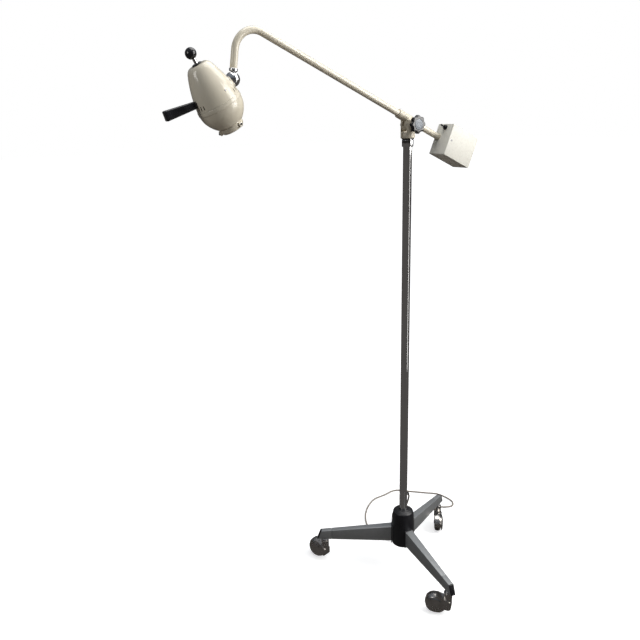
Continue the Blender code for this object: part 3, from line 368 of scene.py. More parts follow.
class SurfaceGroups:
    """The effects that several finishes share, each built once."""

    def __init__(self) -> None:
        """Build the groups."""
        self.mottle = self._mottle()
        self.grain = self._grain()
        self.wear = self._wear()
        self.streaks = self._streaks()

    def _mottle(self) -> NodeTree:
        """Two colours mixed in soft clouds, with a small mask of specks."""
        tree, g = shader_group("Mottle", [
            ("Color A", "NodeSocketColor", (0.8, 0.8, 0.8, 1)),
            ("Color B", "NodeSocketColor", (0.6, 0.6, 0.6, 1)),
            ("Scale", "NodeSocketFloat", 18.0), ("Amount", "NodeSocketFloat", 0.5)],
            [("Color", "NodeSocketColor"), ("Mask", "NodeSocketFloat")])
        start = g.add("NodeGroupInput")
        place = g.add("ShaderNodeTexCoord")
        clouds = g.add("ShaderNodeTexNoise", {"Vector": place.outputs["Object"],
                                              "Scale": start.outputs["Scale"],
                                              "Detail": 5.0, "Roughness": 0.6})
        spread = g.add("ShaderNodeMapRange", {"Value": clouds, "From Min": 0.35, "From Max": 0.68,
                                              "To Min": 0.0, "To Max": 1.0})
        share = g.add("ShaderNodeMath", {0: spread, 1: start.outputs["Amount"]}, operation="MULTIPLY")
        mix = g.add("ShaderNodeMix", data_type="RGBA")
        g.join(share, mix.inputs[0])
        g.join(start.outputs["Color A"], mix.inputs[6])
        g.join(start.outputs["Color B"], mix.inputs[7])
        end = g.add("NodeGroupOutput")
        g.join(mix.outputs[2], end.inputs["Color"])
        g.join(spread, end.inputs["Mask"])
        return tree

    def _grain(self) -> NodeTree:
        """A fine height for bump, from a close noise and a wide ripple."""
        tree, g = shader_group("Grain", [("Scale", "NodeSocketFloat", 900.0),
                                         ("Ripple", "NodeSocketFloat", 0.3)],
                               [("Height", "NodeSocketFloat")])
        start = g.add("NodeGroupInput")
        place = g.add("ShaderNodeTexCoord")
        fine = g.add("ShaderNodeTexNoise", {"Vector": place.outputs["Object"],
                                            "Scale": start.outputs["Scale"],
                                            "Detail": 3.0})
        wide = g.add("ShaderNodeTexNoise", {"Vector": place.outputs["Object"], "Scale": 60.0,
                                            "Detail": 2.0})
        part = g.add("ShaderNodeMath", {0: wide, 1: start.outputs["Ripple"]}, operation="MULTIPLY")
        both = g.add("ShaderNodeMath", {0: fine, 1: part}, operation="ADD")
        end = g.add("NodeGroupOutput")
        g.join(both, end.inputs["Height"])
        return tree

    def _wear(self) -> NodeTree:
        """A mask on convex edges, broken up by noise, and a mask of dust on upward faces."""
        tree, g = shader_group("Edge Wear", [("Amount", "NodeSocketFloat", 0.5),
                                             ("Dust", "NodeSocketFloat", 0.2)],
                               [("Wear", "NodeSocketFloat"), ("Dust", "NodeSocketFloat")])
        start = g.add("NodeGroupInput")
        place = g.add("ShaderNodeTexCoord")
        form = g.add("ShaderNodeNewGeometry")
        edges = g.add("ShaderNodeMapRange", {"Value": form.outputs["Pointiness"], "From Min": 0.53,
                                             "From Max": 0.62,
                                             "To Min": 0.0, "To Max": 1.0})
        noise = g.add("ShaderNodeTexNoise", {"Vector": place.outputs["Object"], "Scale": 140.0,
                                             "Detail": 6.0})
        chips = g.add("ShaderNodeMapRange", {"Value": noise, "From Min": 0.52, "From Max": 0.6,
                                             "To Min": 0.0, "To Max": 1.0})
        worn = g.add("ShaderNodeMath", {0: edges, 1: chips}, operation="MULTIPLY")
        shown = g.add("ShaderNodeMath", {0: worn, 1: start.outputs["Amount"]}, operation="MULTIPLY")
        split = g.add("ShaderNodeSeparateXYZ", {0: place.outputs["Normal"]})
        upward = g.add("ShaderNodeMapRange", {"Value": split.outputs["Z"], "From Min": 0.3, "From Max": 1.0,
                                              "To Min": 0.0, "To Max": 1.0})
        lint = g.add("ShaderNodeTexNoise", {"Vector": place.outputs["Object"], "Scale": 35.0,
                                            "Detail": 6.0})
        settled = g.add("ShaderNodeMath", {0: upward, 1: lint}, operation="MULTIPLY")
        dusty = g.add("ShaderNodeMath", {0: settled, 1: start.outputs["Dust"]}, operation="MULTIPLY")
        end = g.add("NodeGroupOutput")
        g.join(shown, end.inputs["Wear"])
        g.join(dusty, end.inputs["Dust"])
        return tree

    def _streaks(self) -> NodeTree:
        """Smudges and fine lengthwise streaks on polished metal."""
        tree, g = shader_group("Streaks", [("Low", "NodeSocketFloat", 0.05),
                                           ("High", "NodeSocketFloat", 0.2),
                                           ("Stretch", "NodeSocketFloat", 0.1)],
                               [("Roughness", "NodeSocketFloat")])
        start = g.add("NodeGroupInput")
        place = g.add("ShaderNodeTexCoord")
        size = g.add("ShaderNodeCombineXYZ", {0: 1.0, 1: 1.0, 2: start.outputs["Stretch"]})
        pulled = g.add("ShaderNodeVectorMath", {0: place.outputs["Object"], 1: size}, operation="MULTIPLY")
        fine = g.add("ShaderNodeTexNoise", {"Vector": pulled, "Scale": 260.0, "Detail": 4.0})
        smudge = g.add("ShaderNodeTexNoise", {"Vector": place.outputs["Object"], "Scale": 14.0,
                                              "Detail": 4.0})
        both = g.add("ShaderNodeMath", {0: fine, 1: smudge}, operation="MULTIPLY")
        value = g.add("ShaderNodeMapRange", {"Value": both, "From Min": 0.15, "From Max": 0.42,
                                             "To Min": start.outputs["Low"],
                                             "To Max": start.outputs["High"]})
        end = g.add("NodeGroupOutput")
        g.join(value, end.inputs["Roughness"])
        return tree


@dataclass(frozen=True)
class Finish:
    """One finish: its colours, gloss, grain and age."""

    name: str
    slot: str
    coating: Coating
    color: tuple[float, float, float]
    second: tuple[float, float, float]
    roughness: tuple[float, float] = (0.3, 0.45)
    mottle_scale: float = 18.0
    mottle: float = 0.5
    grain_scale: float = 900.0
    grain_height: float = 0.00002
    ripple: float = 0.3
    wear: float = 0.0
    worn_color: tuple[float, float, float] = (0.25, 0.22, 0.2)
    dust: float = 0.0
    coat: float = 0.0
    metallic: float = 0.0
    stretch: float = 0.1

    def build(self, groups: SurfaceGroups) -> Material:
        """Build the node material.

        Args:
            groups: the shared effects.

        Returns:
            The material.
        """
        made = bpy.data.materials.new(self.name)
        made.use_nodes = True
        g = Graph(made.node_tree)
        shader = made.node_tree.nodes["Principled BSDF"]
        shader.inputs["Metallic"].default_value = self.metallic
        shader.inputs["Coat Weight"].default_value = self.coat
        shader.inputs["Coat Roughness"].default_value = COAT_ROUGHNESS
        if self.coating is Coating.GLASS:
            shader.inputs["Transmission Weight"].default_value = 1.0
            shader.inputs["IOR"].default_value = GLASS_IOR
        mottle = g.add("ShaderNodeGroup", {
            "Color A": (*self.color, 1.0), "Color B": (*self.second, 1.0), "Scale": self.mottle_scale,
            "Amount": self.mottle}, node_tree=groups.mottle)
        wear = g.add("ShaderNodeGroup", {"Amount": self.wear, "Dust": self.dust}, node_tree=groups.wear)
        worn = self._mix(g, wear.outputs["Wear"], mottle.outputs["Color"], self.worn_color)
        dusted = self._mix(g, wear.outputs["Dust"], worn, DUST_COLOR)
        g.join(dusted, shader.inputs["Base Color"])
        if self.coating is Coating.METAL:
            streaks = g.add("ShaderNodeGroup", {
                "Low": self.roughness[0], "High": self.roughness[1], "Stretch": self.stretch},
                node_tree=groups.streaks)
            rough = streaks.outputs["Roughness"]
        else:
            ranged = g.add("ShaderNodeMapRange", {"Value": mottle.outputs["Mask"],
                                                  "To Min": self.roughness[0],
                                                  "To Max": self.roughness[1]})
            rough = ranged.outputs["Result"]
        dull = g.add("ShaderNodeMath", {0: wear.outputs["Dust"], 1: 0.5}, operation="MULTIPLY")
        total = g.add("ShaderNodeMath", {0: rough, 1: dull}, operation="ADD", use_clamp=True)
        g.join(total, shader.inputs["Roughness"])
        grain = g.add("ShaderNodeGroup", {"Scale": self.grain_scale, "Ripple": self.ripple},
                      node_tree=groups.grain)
        bump = g.add("ShaderNodeBump", {"Height": grain.outputs["Height"], "Strength": 1.0,
                                        "Distance": self.grain_height})
        g.join(bump.outputs["Normal"], shader.inputs["Normal"])
        return made

    @staticmethod
    def _mix(g: Graph, mask: NodeSocket, base: NodeSocket,
             top: tuple[float, float, float]) -> NodeSocket:
        """Lay a colour over another where a mask is set, and return the result's socket."""
        mix = g.add("ShaderNodeMix", data_type="RGBA")
        g.join(mask, mix.inputs[0])
        g.join(base, mix.inputs[6])
        mix.inputs[7].default_value = (*top, 1.0)
        return mix.outputs[2]


FINISHES = [
    Finish("cream_enamel", "cream_enamel", Coating.PAINT, (0.86, 0.80, 0.665), (0.80, 0.735, 0.59),
           (0.16, 0.27),
           9.0, 0.6, 700.0, 0.000004, 0.6, 0.5, (0.45, 0.38, 0.28), 0.12, 0.35),
    Finish("cream_casting", "cream_casting", Coating.PAINT, (0.80, 0.735, 0.60), (0.68, 0.61, 0.48),
           (0.3, 0.46),
           26.0, 0.6, 420.0, 0.000015, 0.9, 0.8, (0.30, 0.25, 0.2), 0.2, 0.1),
    Finish("box_paint", "box_paint", Coating.PAINT, (0.88, 0.87, 0.80), (0.83, 0.815, 0.74), (0.34, 0.48),
           14.0, 0.5, 1500.0, 0.00005, 0.2, 0.5, (0.42, 0.38, 0.32), 0.12),
    Finish("chrome", "chrome", Coating.METAL, (0.80, 0.80, 0.81), (0.70, 0.71, 0.73), (0.03, 0.12),
           10.0, 0.4, 500.0, 0.000002, 0.5, 0.0, (0.4, 0.36, 0.3), 0.02, 0.0, 1.0),
    # A darker, brown-tinted copy of the chrome for the castor hoods: painted reflection of the dark floor,
    # with rubbed edges as wear.
    Finish("castor_chrome_painted_reflection", "chrome", Coating.METAL, (0.62, 0.60, 0.58), (0.42, 0.39, 0.36), (0.14, 0.34),
           30.0, 0.8, 500.0, 0.00001, 0.5, 0.4, (0.62, 0.6, 0.58), 0.12, 0.0, 1.0, 1.0),
    Finish("silver_leg_paint", "silver_leg_paint", Coating.PAINT, (0.40, 0.415, 0.43), (0.31, 0.32, 0.325),
           (0.32, 0.48), 16.0, 0.5, 1300.0, 0.00002, 0.2, 0.7, (0.60, 0.61, 0.62), 0.18, 0.05, 0.55),
    Finish("black_plastic", "black_plastic", Coating.PLASTIC, (0.010, 0.010, 0.013), (0.018, 0.018, 0.022),
           (0.24, 0.42), 22.0, 0.7, 1100.0, 0.00002, 0.4, 0.5, (0.07, 0.07, 0.08), 0.09),
    Finish("black_knob", "black_knob", Coating.PLASTIC, (0.008, 0.008, 0.010), (0.016, 0.016, 0.022),
           (0.12, 0.26), 30.0, 0.6, 900.0, 0.000008, 0.4, 0.5, (0.06, 0.06, 0.07), 0.05, 0.3),
    Finish("tread_brown", "wheel_brown", Coating.PLASTIC, (0.060, 0.050, 0.043), (0.095, 0.080, 0.070),
           (0.45, 0.65), 60.0, 0.8, 700.0, 0.00008, 0.5, 0.7, (0.15, 0.13, 0.115), 0.3),
    Finish("turned_steel", "steel", Coating.METAL, (0.56, 0.56, 0.58), (0.42, 0.42, 0.45), (0.16, 0.34),
           40.0, 0.6, 900.0, 0.00001, 0.3, 0.0, (0.3, 0.3, 0.3), 0.04, 0.0, 1.0, 1.0),
    Finish("lens_glass", "lens_glass", Coating.GLASS, (0.96, 0.99, 0.98), (0.93, 0.98, 0.97), (0.01, 0.04),
           30.0, 0.5, 300.0, 0.000002),
    Finish("silvered", "mirror", Coating.METAL, (0.92, 0.92, 0.92), (0.86, 0.86, 0.86), (0.03, 0.1),
           30.0, 0.4, 300.0, 0.000003, 0.5, 0.0, (0.4, 0.4, 0.4), 0.0, 0.0, 1.0, 1.0),
    Finish("ceramic", "lamp_ceramic", Coating.PLASTIC, (0.78, 0.76, 0.70), (0.66, 0.63, 0.55), (0.4, 0.6),
           60.0, 0.6, 900.0, 0.00004),
    Finish("core_iron", "core_iron", Coating.METAL, (0.20, 0.20, 0.21), (0.12, 0.11, 0.11), (0.3, 0.55),
           60.0, 0.7, 900.0, 0.00004, 0.3, 0.4, (0.3, 0.26, 0.22), 0.2, 0.0, 0.8, 1.0),
    Finish("coil_wrap", "coil_wrap", Coating.PLASTIC, (0.52, 0.36, 0.16), (0.38, 0.24, 0.10), (0.4, 0.55),
           80.0, 0.7, 1200.0, 0.00005),
    Finish("cord_sheath", "cord_grey", Coating.PLASTIC, (0.36, 0.315, 0.27), (0.27, 0.235, 0.20),
           (0.42, 0.6),
           50.0, 0.7, 1500.0, 0.00003, 0.3, 0.0, (0.2, 0.18, 0.16), 0.1),
    Finish("cap_grey", "steel", Coating.PLASTIC, (0.30, 0.33, 0.37), (0.24, 0.27, 0.31), (0.3, 0.45), 40.0,
           0.6),
    # Near-black matte for the sheet behind the vent slots, which paints the shade inside the head.
    Finish("vent_shade_dark", "black_plastic", Coating.PLASTIC, (0.02, 0.017, 0.014), (0.03, 0.026, 0.02),
           (0.6, 0.8)),
]


# ---------------------------------------------------------------- geometry nodes
def geometry_tree(name: str, inputs: list[tuple[str, str, object]]) -> tuple[NodeTree, Graph]:
    """Start a geometry tree with a geometry input and output and the named inputs."""
    tree = bpy.data.node_groups.new(name, "GeometryNodeTree")
    tree.interface.new_socket("Geometry", in_out="INPUT", socket_type="NodeSocketGeometry")
    for label, kind, value in inputs:
        socket = tree.interface.new_socket(label, in_out="INPUT", socket_type=kind)
        if value is not None:
            socket.default_value = value
    tree.interface.new_socket("Geometry", in_out="OUTPUT", socket_type="NodeSocketGeometry")
    return tree, Graph(tree)


def close_tree(g: Graph, start: Node, shape: NodeSocket) -> None:
    """End a tree in Realize Instances, Set Material and the group's output."""
    real = g.add("GeometryNodeRealizeInstances", {"Geometry": shape})
    dressed = g.add("GeometryNodeSetMaterial", {"Geometry": real, "Material": start.outputs["Material"]})
    end = g.add("NodeGroupOutput")
    g.join(dressed, end.inputs["Geometry"])


class Repeats:
    """Geometry trees for what follows a path or repeats."""

    def __init__(self) -> None:
        """Build the trees."""
        self.tube = self._tube()
        self.ring = self._ring()
        self.row = self._row()

    @staticmethod
    def _tube() -> NodeTree:
        """A round tube along the edges of the input mesh."""
        tree, g = geometry_tree("Tube On Path", [("Radius", "NodeSocketFloat", 0.01),
                                                 ("Sides", "NodeSocketInt", 48),
                                                 ("Material", "NodeSocketMaterial", None)])
        start = g.add("NodeGroupInput")
        path = g.add("GeometryNodeMeshToCurve", {"Mesh": start.outputs["Geometry"]})
        section = g.add("GeometryNodeCurvePrimitiveCircle", {"Resolution": start.outputs["Sides"],
                                                             "Radius": start.outputs["Radius"]})
        skin = g.add("GeometryNodeCurveToMesh", {"Curve": path, "Profile Curve": section,
                                                 "Fill Caps": True})
        smooth = g.add("GeometryNodeSetShadeSmooth", {"Geometry": skin})
        close_tree(g, start, smooth.outputs[0])
        return tree

    @staticmethod
    def _ring() -> NodeTree:
        """Copies of the input mesh turned about Z."""
        tree, g = geometry_tree("Ring Of Parts", [("Count", "NodeSocketInt", 3),
                                                  ("First Turn", "NodeSocketFloat", 0.0),
                                                  ("Material", "NodeSocketMaterial", None)])
        start = g.add("NodeGroupInput")
        spots = g.add("GeometryNodeMeshLine", {"Count": start.outputs["Count"], "Offset": (0.0, 0.0, 0.0)})
        index = g.add("GeometryNodeInputIndex")
        step = g.add("ShaderNodeMath", {0: 2.0 * math.pi, 1: start.outputs["Count"]}, operation="DIVIDE")
        turn = g.add("ShaderNodeMath", {0: index, 1: step, 2: start.outputs["First Turn"]},
                     operation="MULTIPLY_ADD")
        spin = g.add("ShaderNodeCombineXYZ", {"Z": turn})
        copies = g.add("GeometryNodeInstanceOnPoints",
                       {"Points": spots, "Instance": start.outputs["Geometry"],
                                                        "Rotation": spin})
        close_tree(g, start, copies.outputs[0])
        return tree

    @staticmethod
    def _row() -> NodeTree:
        """Copies of the input mesh in a straight row."""
        tree, g = geometry_tree("Row Of Parts", [("Count", "NodeSocketInt", 5),
                                                 ("Step", "NodeSocketVector", None),
                                                 ("Material", "NodeSocketMaterial", None)])
        start = g.add("NodeGroupInput")
        spots = g.add("GeometryNodeMeshLine", {"Count": start.outputs["Count"],
                                               "Offset": start.outputs["Step"]})
        copies = g.add("GeometryNodeInstanceOnPoints", {"Points": spots,
                                                        "Instance": start.outputs["Geometry"]})
        close_tree(g, start, copies.outputs[0])
        return tree

    @staticmethod
    def run(piece: Object, tree: NodeTree, values: dict[str, object],
            place: Matrix | None = None) -> Object:
        """Run a tree on a piece and leave its result as a plain mesh.

        Args:
            piece: the object whose mesh goes in.
            tree: the geometry tree.
            values: what each named input is set to.
            place: the result's place, baked into the mesh.

        Returns:
            The piece with its new mesh.
        """
        step = piece.modifiers.new(tree.name, "NODES")
        step.node_group = tree
        for item in tree.interface.items_tree:
            if item.in_out == "INPUT" and item.name in values:
                step[item.identifier] = values[item.name]
        settle(piece)
        if place is not None:
            piece.data.transform(place)
        return piece


# ---------------------------------------------------------------- the workshop
class Workshop:
    """Holds the frame, the finishes and the trees, and registers each finished piece."""

    def __init__(self, frame: dict) -> None:
        """Keep the frame and build the shared finishes and trees."""
        self.frame = frame
        groups = SurfaceGroups()
        self.finishes = {finish.name: finish for finish in FINISHES}
        self.materials = {name: finish.build(groups) for name, finish in self.finishes.items()}
        self.repeats = Repeats()
        self.count = 0

    def joint(self, name: str) -> dict:
        """Return one of the frame's joints by name."""
        return next(j for j in self.frame["joints"] if j["name"] == name)

    def place(self, piece: Object, finish: str, body: str, replaces: tuple[str, ...] = (),
              sharp: float = 32.0) -> Object:
        """Dress a piece, put it on its body and say which nodes it stands for.

        Args:
            piece: the finished object, with its place in its mesh.
            finish: the name of its finish.
            body: the body it moves with.
            replaces: the frame's nodes that it stands for.
            sharp: edges bent more than this, in degrees, stay sharp.

        Returns:
            The piece.
        """
        if piece.type == "MESH":
            piece.data.materials.clear()
            piece.data.materials.append(self.materials[finish])
            piece.data.shade_smooth()
            piece.data.set_sharp_from_angle(angle=math.radians(sharp))
        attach(piece, body)
        if replaces:
            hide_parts(*replaces)
        self.count += 1
        log.info("%s rides on %s", piece.name, body)
        return piece

    def turned_piece(self, name: str, profile: Profile, finish: str, body: str, matrix: Matrix,
                     replaces: tuple[str, ...] = (), sides: int = 72, sharp: float = 32.0) -> Object:
        """Make and place a lathe-turned piece."""
        return self.place(as_object(name, lathe(profile, sides), matrix), finish, body, replaces, sharp)


# ---------------------------------------------------------------- studio
@dataclass(frozen=True)
class SoftLight:
    """One rectangular light: how far right, ahead and up of its aim, its two sides and its power."""

    name: str
    right: float
    ahead: float
    up: float
    size: tuple[float, float]
    power: float


@dataclass
class Studio:
    """Camera, floor, lights and world."""

    foot: tuple[float, float] = POLE_FOOT
    camera_place: tuple[float, float, float] = (-1.1908, -1.6271, 1.7135)
    heading: float = 56.97
    pitch: float = -17.38
    roll: float = -1.69
    lens: float = 36.0
    floor_lift: float = 0.62
    room_floor: tuple[float, float, float] = (0.085, 0.080, 0.076)
    floor_bounce: tuple[float, float, float] = (0.16, 0.14, 0.12)
    room_light: float = 0.45
    floor_reach: float = 40.0
    floor_top: float = -0.0010
    floor_base: float = -0.02
    fade: tuple[float, float] = (0.6, 3.2)
    sensor: float = 36.0
    light_color: tuple[float, float, float] = (1.0, 0.985, 0.955)
    aim: tuple[float, float] = (-0.2, 1.0)
    lights: tuple[SoftLight, ...] = (
        SoftLight("key", 2.6, -0.5, 1.5, (1.7, 2.4), 82.0),
        SoftLight("strip", 2.0, -0.9, 0.0, (0.16, 2.8), 5.0),
        SoftLight("fill", -2.4, -1.7, 1.4, (0.9, 1.2), 15.0),
        SoftLight("top", 0.4, 0.3, 2.6, (2.2, 2.2), 42.0))

    def build(self) -> None:
        """Make everything that is not the object."""
        self._camera()
        self._floor()
        self._lights()
        self._world()

    def _camera(self) -> None:
        """Set the camera from its heading, pitch and roll."""
        heading, pitch, roll = (math.radians(v) for v in (self.heading, self.pitch, self.roll))
        forward = Vector((math.cos(heading) * math.cos(pitch), math.sin(heading) * math.cos(pitch),
                          math.sin(pitch)))
        level = Vector((math.sin(heading), -math.cos(heading), 0.0))
        upright = level.cross(forward)
        right = level * math.cos(roll) + upright * math.sin(roll)
        up = upright * math.cos(roll) - level * math.sin(roll)
        data = bpy.data.cameras.new("camera")
        data.sensor_width = self.sensor
        data.lens = self.lens
        camera = bpy.data.objects.new("camera", data)
        camera.matrix_world = Matrix.Translation(self.camera_place) @ Matrix(
            (right, up, -forward)).transposed().to_4x4()
        bpy.context.scene.collection.objects.link(camera)
        bpy.context.scene.camera = camera

    def _floor(self) -> None:
        """Lay a wide pale floor that stays quiet in polished metal."""
        reach = self.floor_reach
        corners = [(-reach, -reach), (reach, -reach), (reach, reach), (-reach, reach)]
        floor = as_object("floor", prism(corners, self.floor_base, self.floor_top))
        made = bpy.data.materials.new("floor_paint")
        made.use_nodes = True
        made.node_tree.nodes.clear()
        g = Graph(made.node_tree)
        path = g.add("ShaderNodeLightPath")
        speck = g.add("ShaderNodeTexNoise", {"Scale": 3.0, "Detail": 2.0})
        tone = g.add("ShaderNodeMapRange", {"Value": speck, "To Min": 0.79, "To Max": 0.81})
        place = g.add("ShaderNodeTexCoord")
        distance = g.add("ShaderNodeVectorMath", {0: place.outputs["Object"]}, operation="LENGTH")
        lift = g.add("ShaderNodeMapRange", {"Value": distance.outputs["Value"], "From Min": self.fade[0],
                                            "From Max": self.fade[1],
                                            "To Min": self.floor_lift, "To Max": 1.0})
        matt = g.add("ShaderNodeBsdfDiffuse", {"Color": tone})
        glow = g.add("ShaderNodeEmission", {"Color": (1.0, 1.0, 1.0, 1.0), "Strength": lift})
        pale = g.add("ShaderNodeAddShader", {0: matt, 1: glow})
        dark = g.add("ShaderNodeEmission", {"Color": (*self.room_floor, 1.0), "Strength": 1.0})
        bounce = g.add("ShaderNodeBsdfDiffuse", {"Color": (*self.floor_bounce, 1.0)})
        quiet = g.add("ShaderNodeMixShader", {0: path.outputs["Is Glossy Ray"], 1: bounce, 2: dark})
        mix = g.add("ShaderNodeMixShader", {0: path.outputs["Is Camera Ray"], 1: quiet, 2: pale})
        end = g.add("ShaderNodeOutputMaterial")
        g.join(mix, end.inputs["Surface"])
        floor.data.materials.append(made)

    def _lights(self) -> None:
        """Place a soft key at the right, a strip for the metal, a faint fill and a broad light overhead."""
        target = Vector((self.foot[0] + self.aim[0], self.foot[1], self.aim[1]))
        heading = math.radians(self.heading)
        ahead = Vector((math.cos(heading), math.sin(heading), 0.0))
        right = Vector((math.sin(heading), -math.cos(heading), 0.0))
        for light in self.lights:
            offset = right * light.right + ahead * light.ahead + Vector((0.0, 0.0, light.up))
            data = bpy.data.lights.new(light.name, "AREA")
            data.shape = "RECTANGLE"
            data.size, data.size_y = light.size
            data.energy = light.power
            data.color = self.light_color
            lamp = bpy.data.objects.new(light.name, data)
            lamp.location = target + offset
            lamp.rotation_mode = "QUATERNION"
            lamp.rotation_quaternion = (-offset).to_track_quat("-Z", "Y")
            bpy.context.scene.collection.objects.link(lamp)

    def _world(self) -> None:
        """Show a white surround to the camera and a dim room to everything else."""
        world = bpy.data.worlds.new("studio")
        world.use_nodes = True
        bpy.context.scene.world = world
        bpy.context.scene.view_settings.view_transform = "Standard"
        g = Graph(world.node_tree)
        world.node_tree.nodes.clear()
        place = g.add("ShaderNodeTexCoord")
        split = g.add("ShaderNodeSeparateXYZ", {0: place.outputs["Generated"]})
        ramp = g.add("ShaderNodeValToRGB", {0: split.outputs["Z"]})
        ramp.color_ramp.elements[0].position = 0.0
        ramp.color_ramp.elements[0].color = (0.045, 0.042, 0.040, 1)
        ramp.color_ramp.elements[1].position = 0.8
        ramp.color_ramp.elements[1].color = (0.46, 0.50, 0.56, 1)
        room = g.add("ShaderNodeBackground", {"Color": ramp, "Strength": self.room_light})
        seen = g.add("ShaderNodeBackground", {"Color": (1.0, 1.0, 1.0, 1), "Strength": 1.0})
        path = g.add("ShaderNodeLightPath")
        mix = g.add("ShaderNodeMixShader", {0: path.outputs["Is Camera Ray"], 1: room, 2: seen})
        end = g.add("ShaderNodeOutputWorld")
        g.join(mix, end.inputs["Surface"])


# ---------------------------------------------------------------- mains lead
@dataclass
class MainsLead:
    """The lead: gland, loose run, coil with its tie, and plug."""

    foot: tuple[float, float] = POLE_FOOT
    radius: float = 3.25 * MM
    coil_centre: tuple[float, float] = (0.1312, 0.1509)
    coil_mean: float = 36.0 * MM
    first_angle: float = -41.0
    turns: float = 7.5
    window: float = math.radians(75.0)
    arrival: float = 10.8 * MM
    plug_place: tuple[float, float, float] = (0.1580, 0.2290, 18.8 * MM)
    plug_turn: float = 49.0
    gland_angle: float = 27.0
    gland_height: float = 0.3000
    route: tuple[tuple[float, float, float], ...] = (
        (0.0466, 0.0238, 0.2831), (0.0513, 0.0261, 0.2752), (0.0590, 0.0345, 0.2600),
        (0.0650, 0.0460, 0.2360),
        (0.0662, 0.0610, 0.1950), (0.0632, 0.0745, 0.1430), (0.0577, 0.0877, 0.0900),
        (0.0523, 0.1029, 0.0450),
        (0.0461, 0.1216, 0.0150), (0.0425, 0.1320, 0.0070),
        (0.0389, 0.1438, 0.0041), (0.0305, 0.1723, 0.0036), (0.0242, 0.2108, 0.0036),
        (0.0261, 0.2556, 0.0036),
        (0.0436, 0.2986, 0.0036), (0.0766, 0.3442, 0.0036), (0.1220, 0.3842, 0.0036),
        (0.1788, 0.4130, 0.0036),
        (0.2376, 0.4136, 0.0036), (0.3070, 0.4142, 0.0036), (0.3525, 0.3720, 0.0036),
        (0.4089, 0.3150, 0.0036),
        (0.4487, 0.2738, 0.0036), (0.4622, 0.2223, 0.0036), (0.4592, 0.1838, 0.0036),
        (0.4352, 0.1623, 0.0036),
        (0.4032, 0.1742, 0.0036), (0.3710, 0.1982, 0.0036), (0.3271, 0.2086, 0.0036),
        (0.2731, 0.1998, 0.0036),
        (0.2292, 0.1784, 0.0036), (0.1966, 0.1537, 0.0036), (0.1764, 0.1316, 0.0036))

    def build(self, shop: Workshop) -> None:
        shift = Vector((*self.foot, 0.0))
        line = self._line(shift)
        curve = bpy.data.curves.new("mains_cord", "CURVE")
        curve.dimensions = "3D"
        curve.bevel_depth = self.radius
        curve.bevel_resolution = 4
        curve.use_fill_caps = True
        spline = curve.splines.new("POLY")
        spline.points.add(len(line) - 1)
        for slot, point in zip(spline.points, line):
            slot.co = (*point, 1.0)
        spline.use_smooth = True
        curve.materials.append(shop.materials["cord_sheath"])
        lead = bpy.data.objects.new("mains_cord", curve)
        bpy.context.scene.collection.objects.link(lead)
        shop.place(lead, "cord_sheath", "stand", ("cord", "cord_coil"))
        pieces = [*self._plug(shop, shift), self._tie(shop, shift)]
        self._gland(shop, shift)

    def _line(self, shift: Vector) -> list[Vector]:
        """Return the lead's centre line: the listed route, then the coil's turns, then the plug."""
        run = smooth_curve([Vector(p) for p in self.route], 6)
        centre = Vector((*self.coil_centre, 0.0))
        pitch = 2 * self.radius
        inner, outer = self.coil_mean - self.radius, self.coil_mean + self.radius
        coil = []
        steps = int(self.turns * 48)
        for k in range(2, steps + 1):
            travelled = 2 * math.pi * self.turns * k / steps
            lap, into = divmod(travelled, 2 * math.pi)
            layer, second = divmod(int(lap), 2)
            from_radius, to_radius = (outer, inner) if layer % 2 == 0 else (inner, outer)
            crossed = second * smoothstep(into / self.window)
            base = from_radius + (to_radius - from_radius) * crossed
            if lap == 0:
                base = outer + (self.arrival - self.radius) * (1.0 - smoothstep(into / self.window))
            height = 3.6 * MM + pitch * layer
            if second == 1:
                height += pitch * smoothstep((into - 2 * math.pi + self.window) / self.window)
            angle = math.radians(self.first_angle) - travelled
            coil.append(centre + Vector((base * math.cos(angle), base * math.sin(angle), height)))
        ahead = Vector((math.cos(math.radians(self.plug_turn)), math.sin(math.radians(self.plug_turn)),
                        0.0))
        tail = Vector(self.plug_place) - ahead * 0.0325
        bend = smooth_curve([coil[-6], coil[-1], (coil[-1] + tail) / 2 + ahead * 0.002,
                             tail - ahead * 0.006, tail], 6)
        path = run[:-1] + coil + bend[7:]
        return [p + shift for p in path]

    def _plug(self, shop: Workshop, shift: Vector) -> list[Object]:
        """Make a round plug with grip flutes, its two pins and its bend relief."""
        lying = Matrix.Translation(shift) @ turned("Z", self.plug_turn, self.plug_place) @ turned("Y", 90.0)
        shell = rounded(mm([(0, -20, 0), (5.4, -20, 0.5), (11, -11, 4), (17.2, -2, 3), (18.3, 1, 2),
            (18.3, 15, 1), (17.2, 17, 0.6), (0, 17, 0)]))
        body = shop.turned_piece("plug_body", shell, "black_plastic", "stand", lying, ("plug",), 64)
        nose = [(0.0, -33 * MM)]
        for k in range(7):
            start = (-33 + 1.9 * k) * MM
            nose += [(4.3 * MM + 0.12 * MM * k, start), (4.3 * MM + 0.12 * MM * k, start + 1.3 * MM),
                     (3.8 * MM + 0.12 * MM * k, start + 1.45 * MM),
                     (3.8 * MM + 0.12 * MM * k, start + 1.8 * MM)]
        nose.append((0.0, -19.6 * MM))
        relief = shop.turned_piece("plug_relief", nose, "black_plastic", "stand", lying, (), 40)
        pin = rounded(mm([(0, 16.5, 0), (2.3, 16.5, 0), (2.3, 35.6, 1.6), (0, 36, 0)]))
        pins = []
        for k, across in enumerate((-9.5 * MM, 9.5 * MM)):
            place = lying @ turned("Z", 90.0) @ moved(across, 0.0, 0.0)
            pins.append(shop.turned_piece(f"plug_pin_{k}", pin, "chrome", "stand", place, (), 28))
        rib = as_object("plug_ribs", block((17.6 * MM, -0.7 * MM, 2.5 * MM),
                                           (18.5 * MM, 0.7 * MM, 13.5 * MM), 0.3 * MM, 1))
        shop.repeats.run(rib, shop.repeats.ring, {"Count": 24, "First Turn": 0.0,
                                                  "Material": shop.materials["black_plastic"]}, lying)
        shop.place(rib, "black_plastic", "stand")
        return [body, relief, *pins, rib]

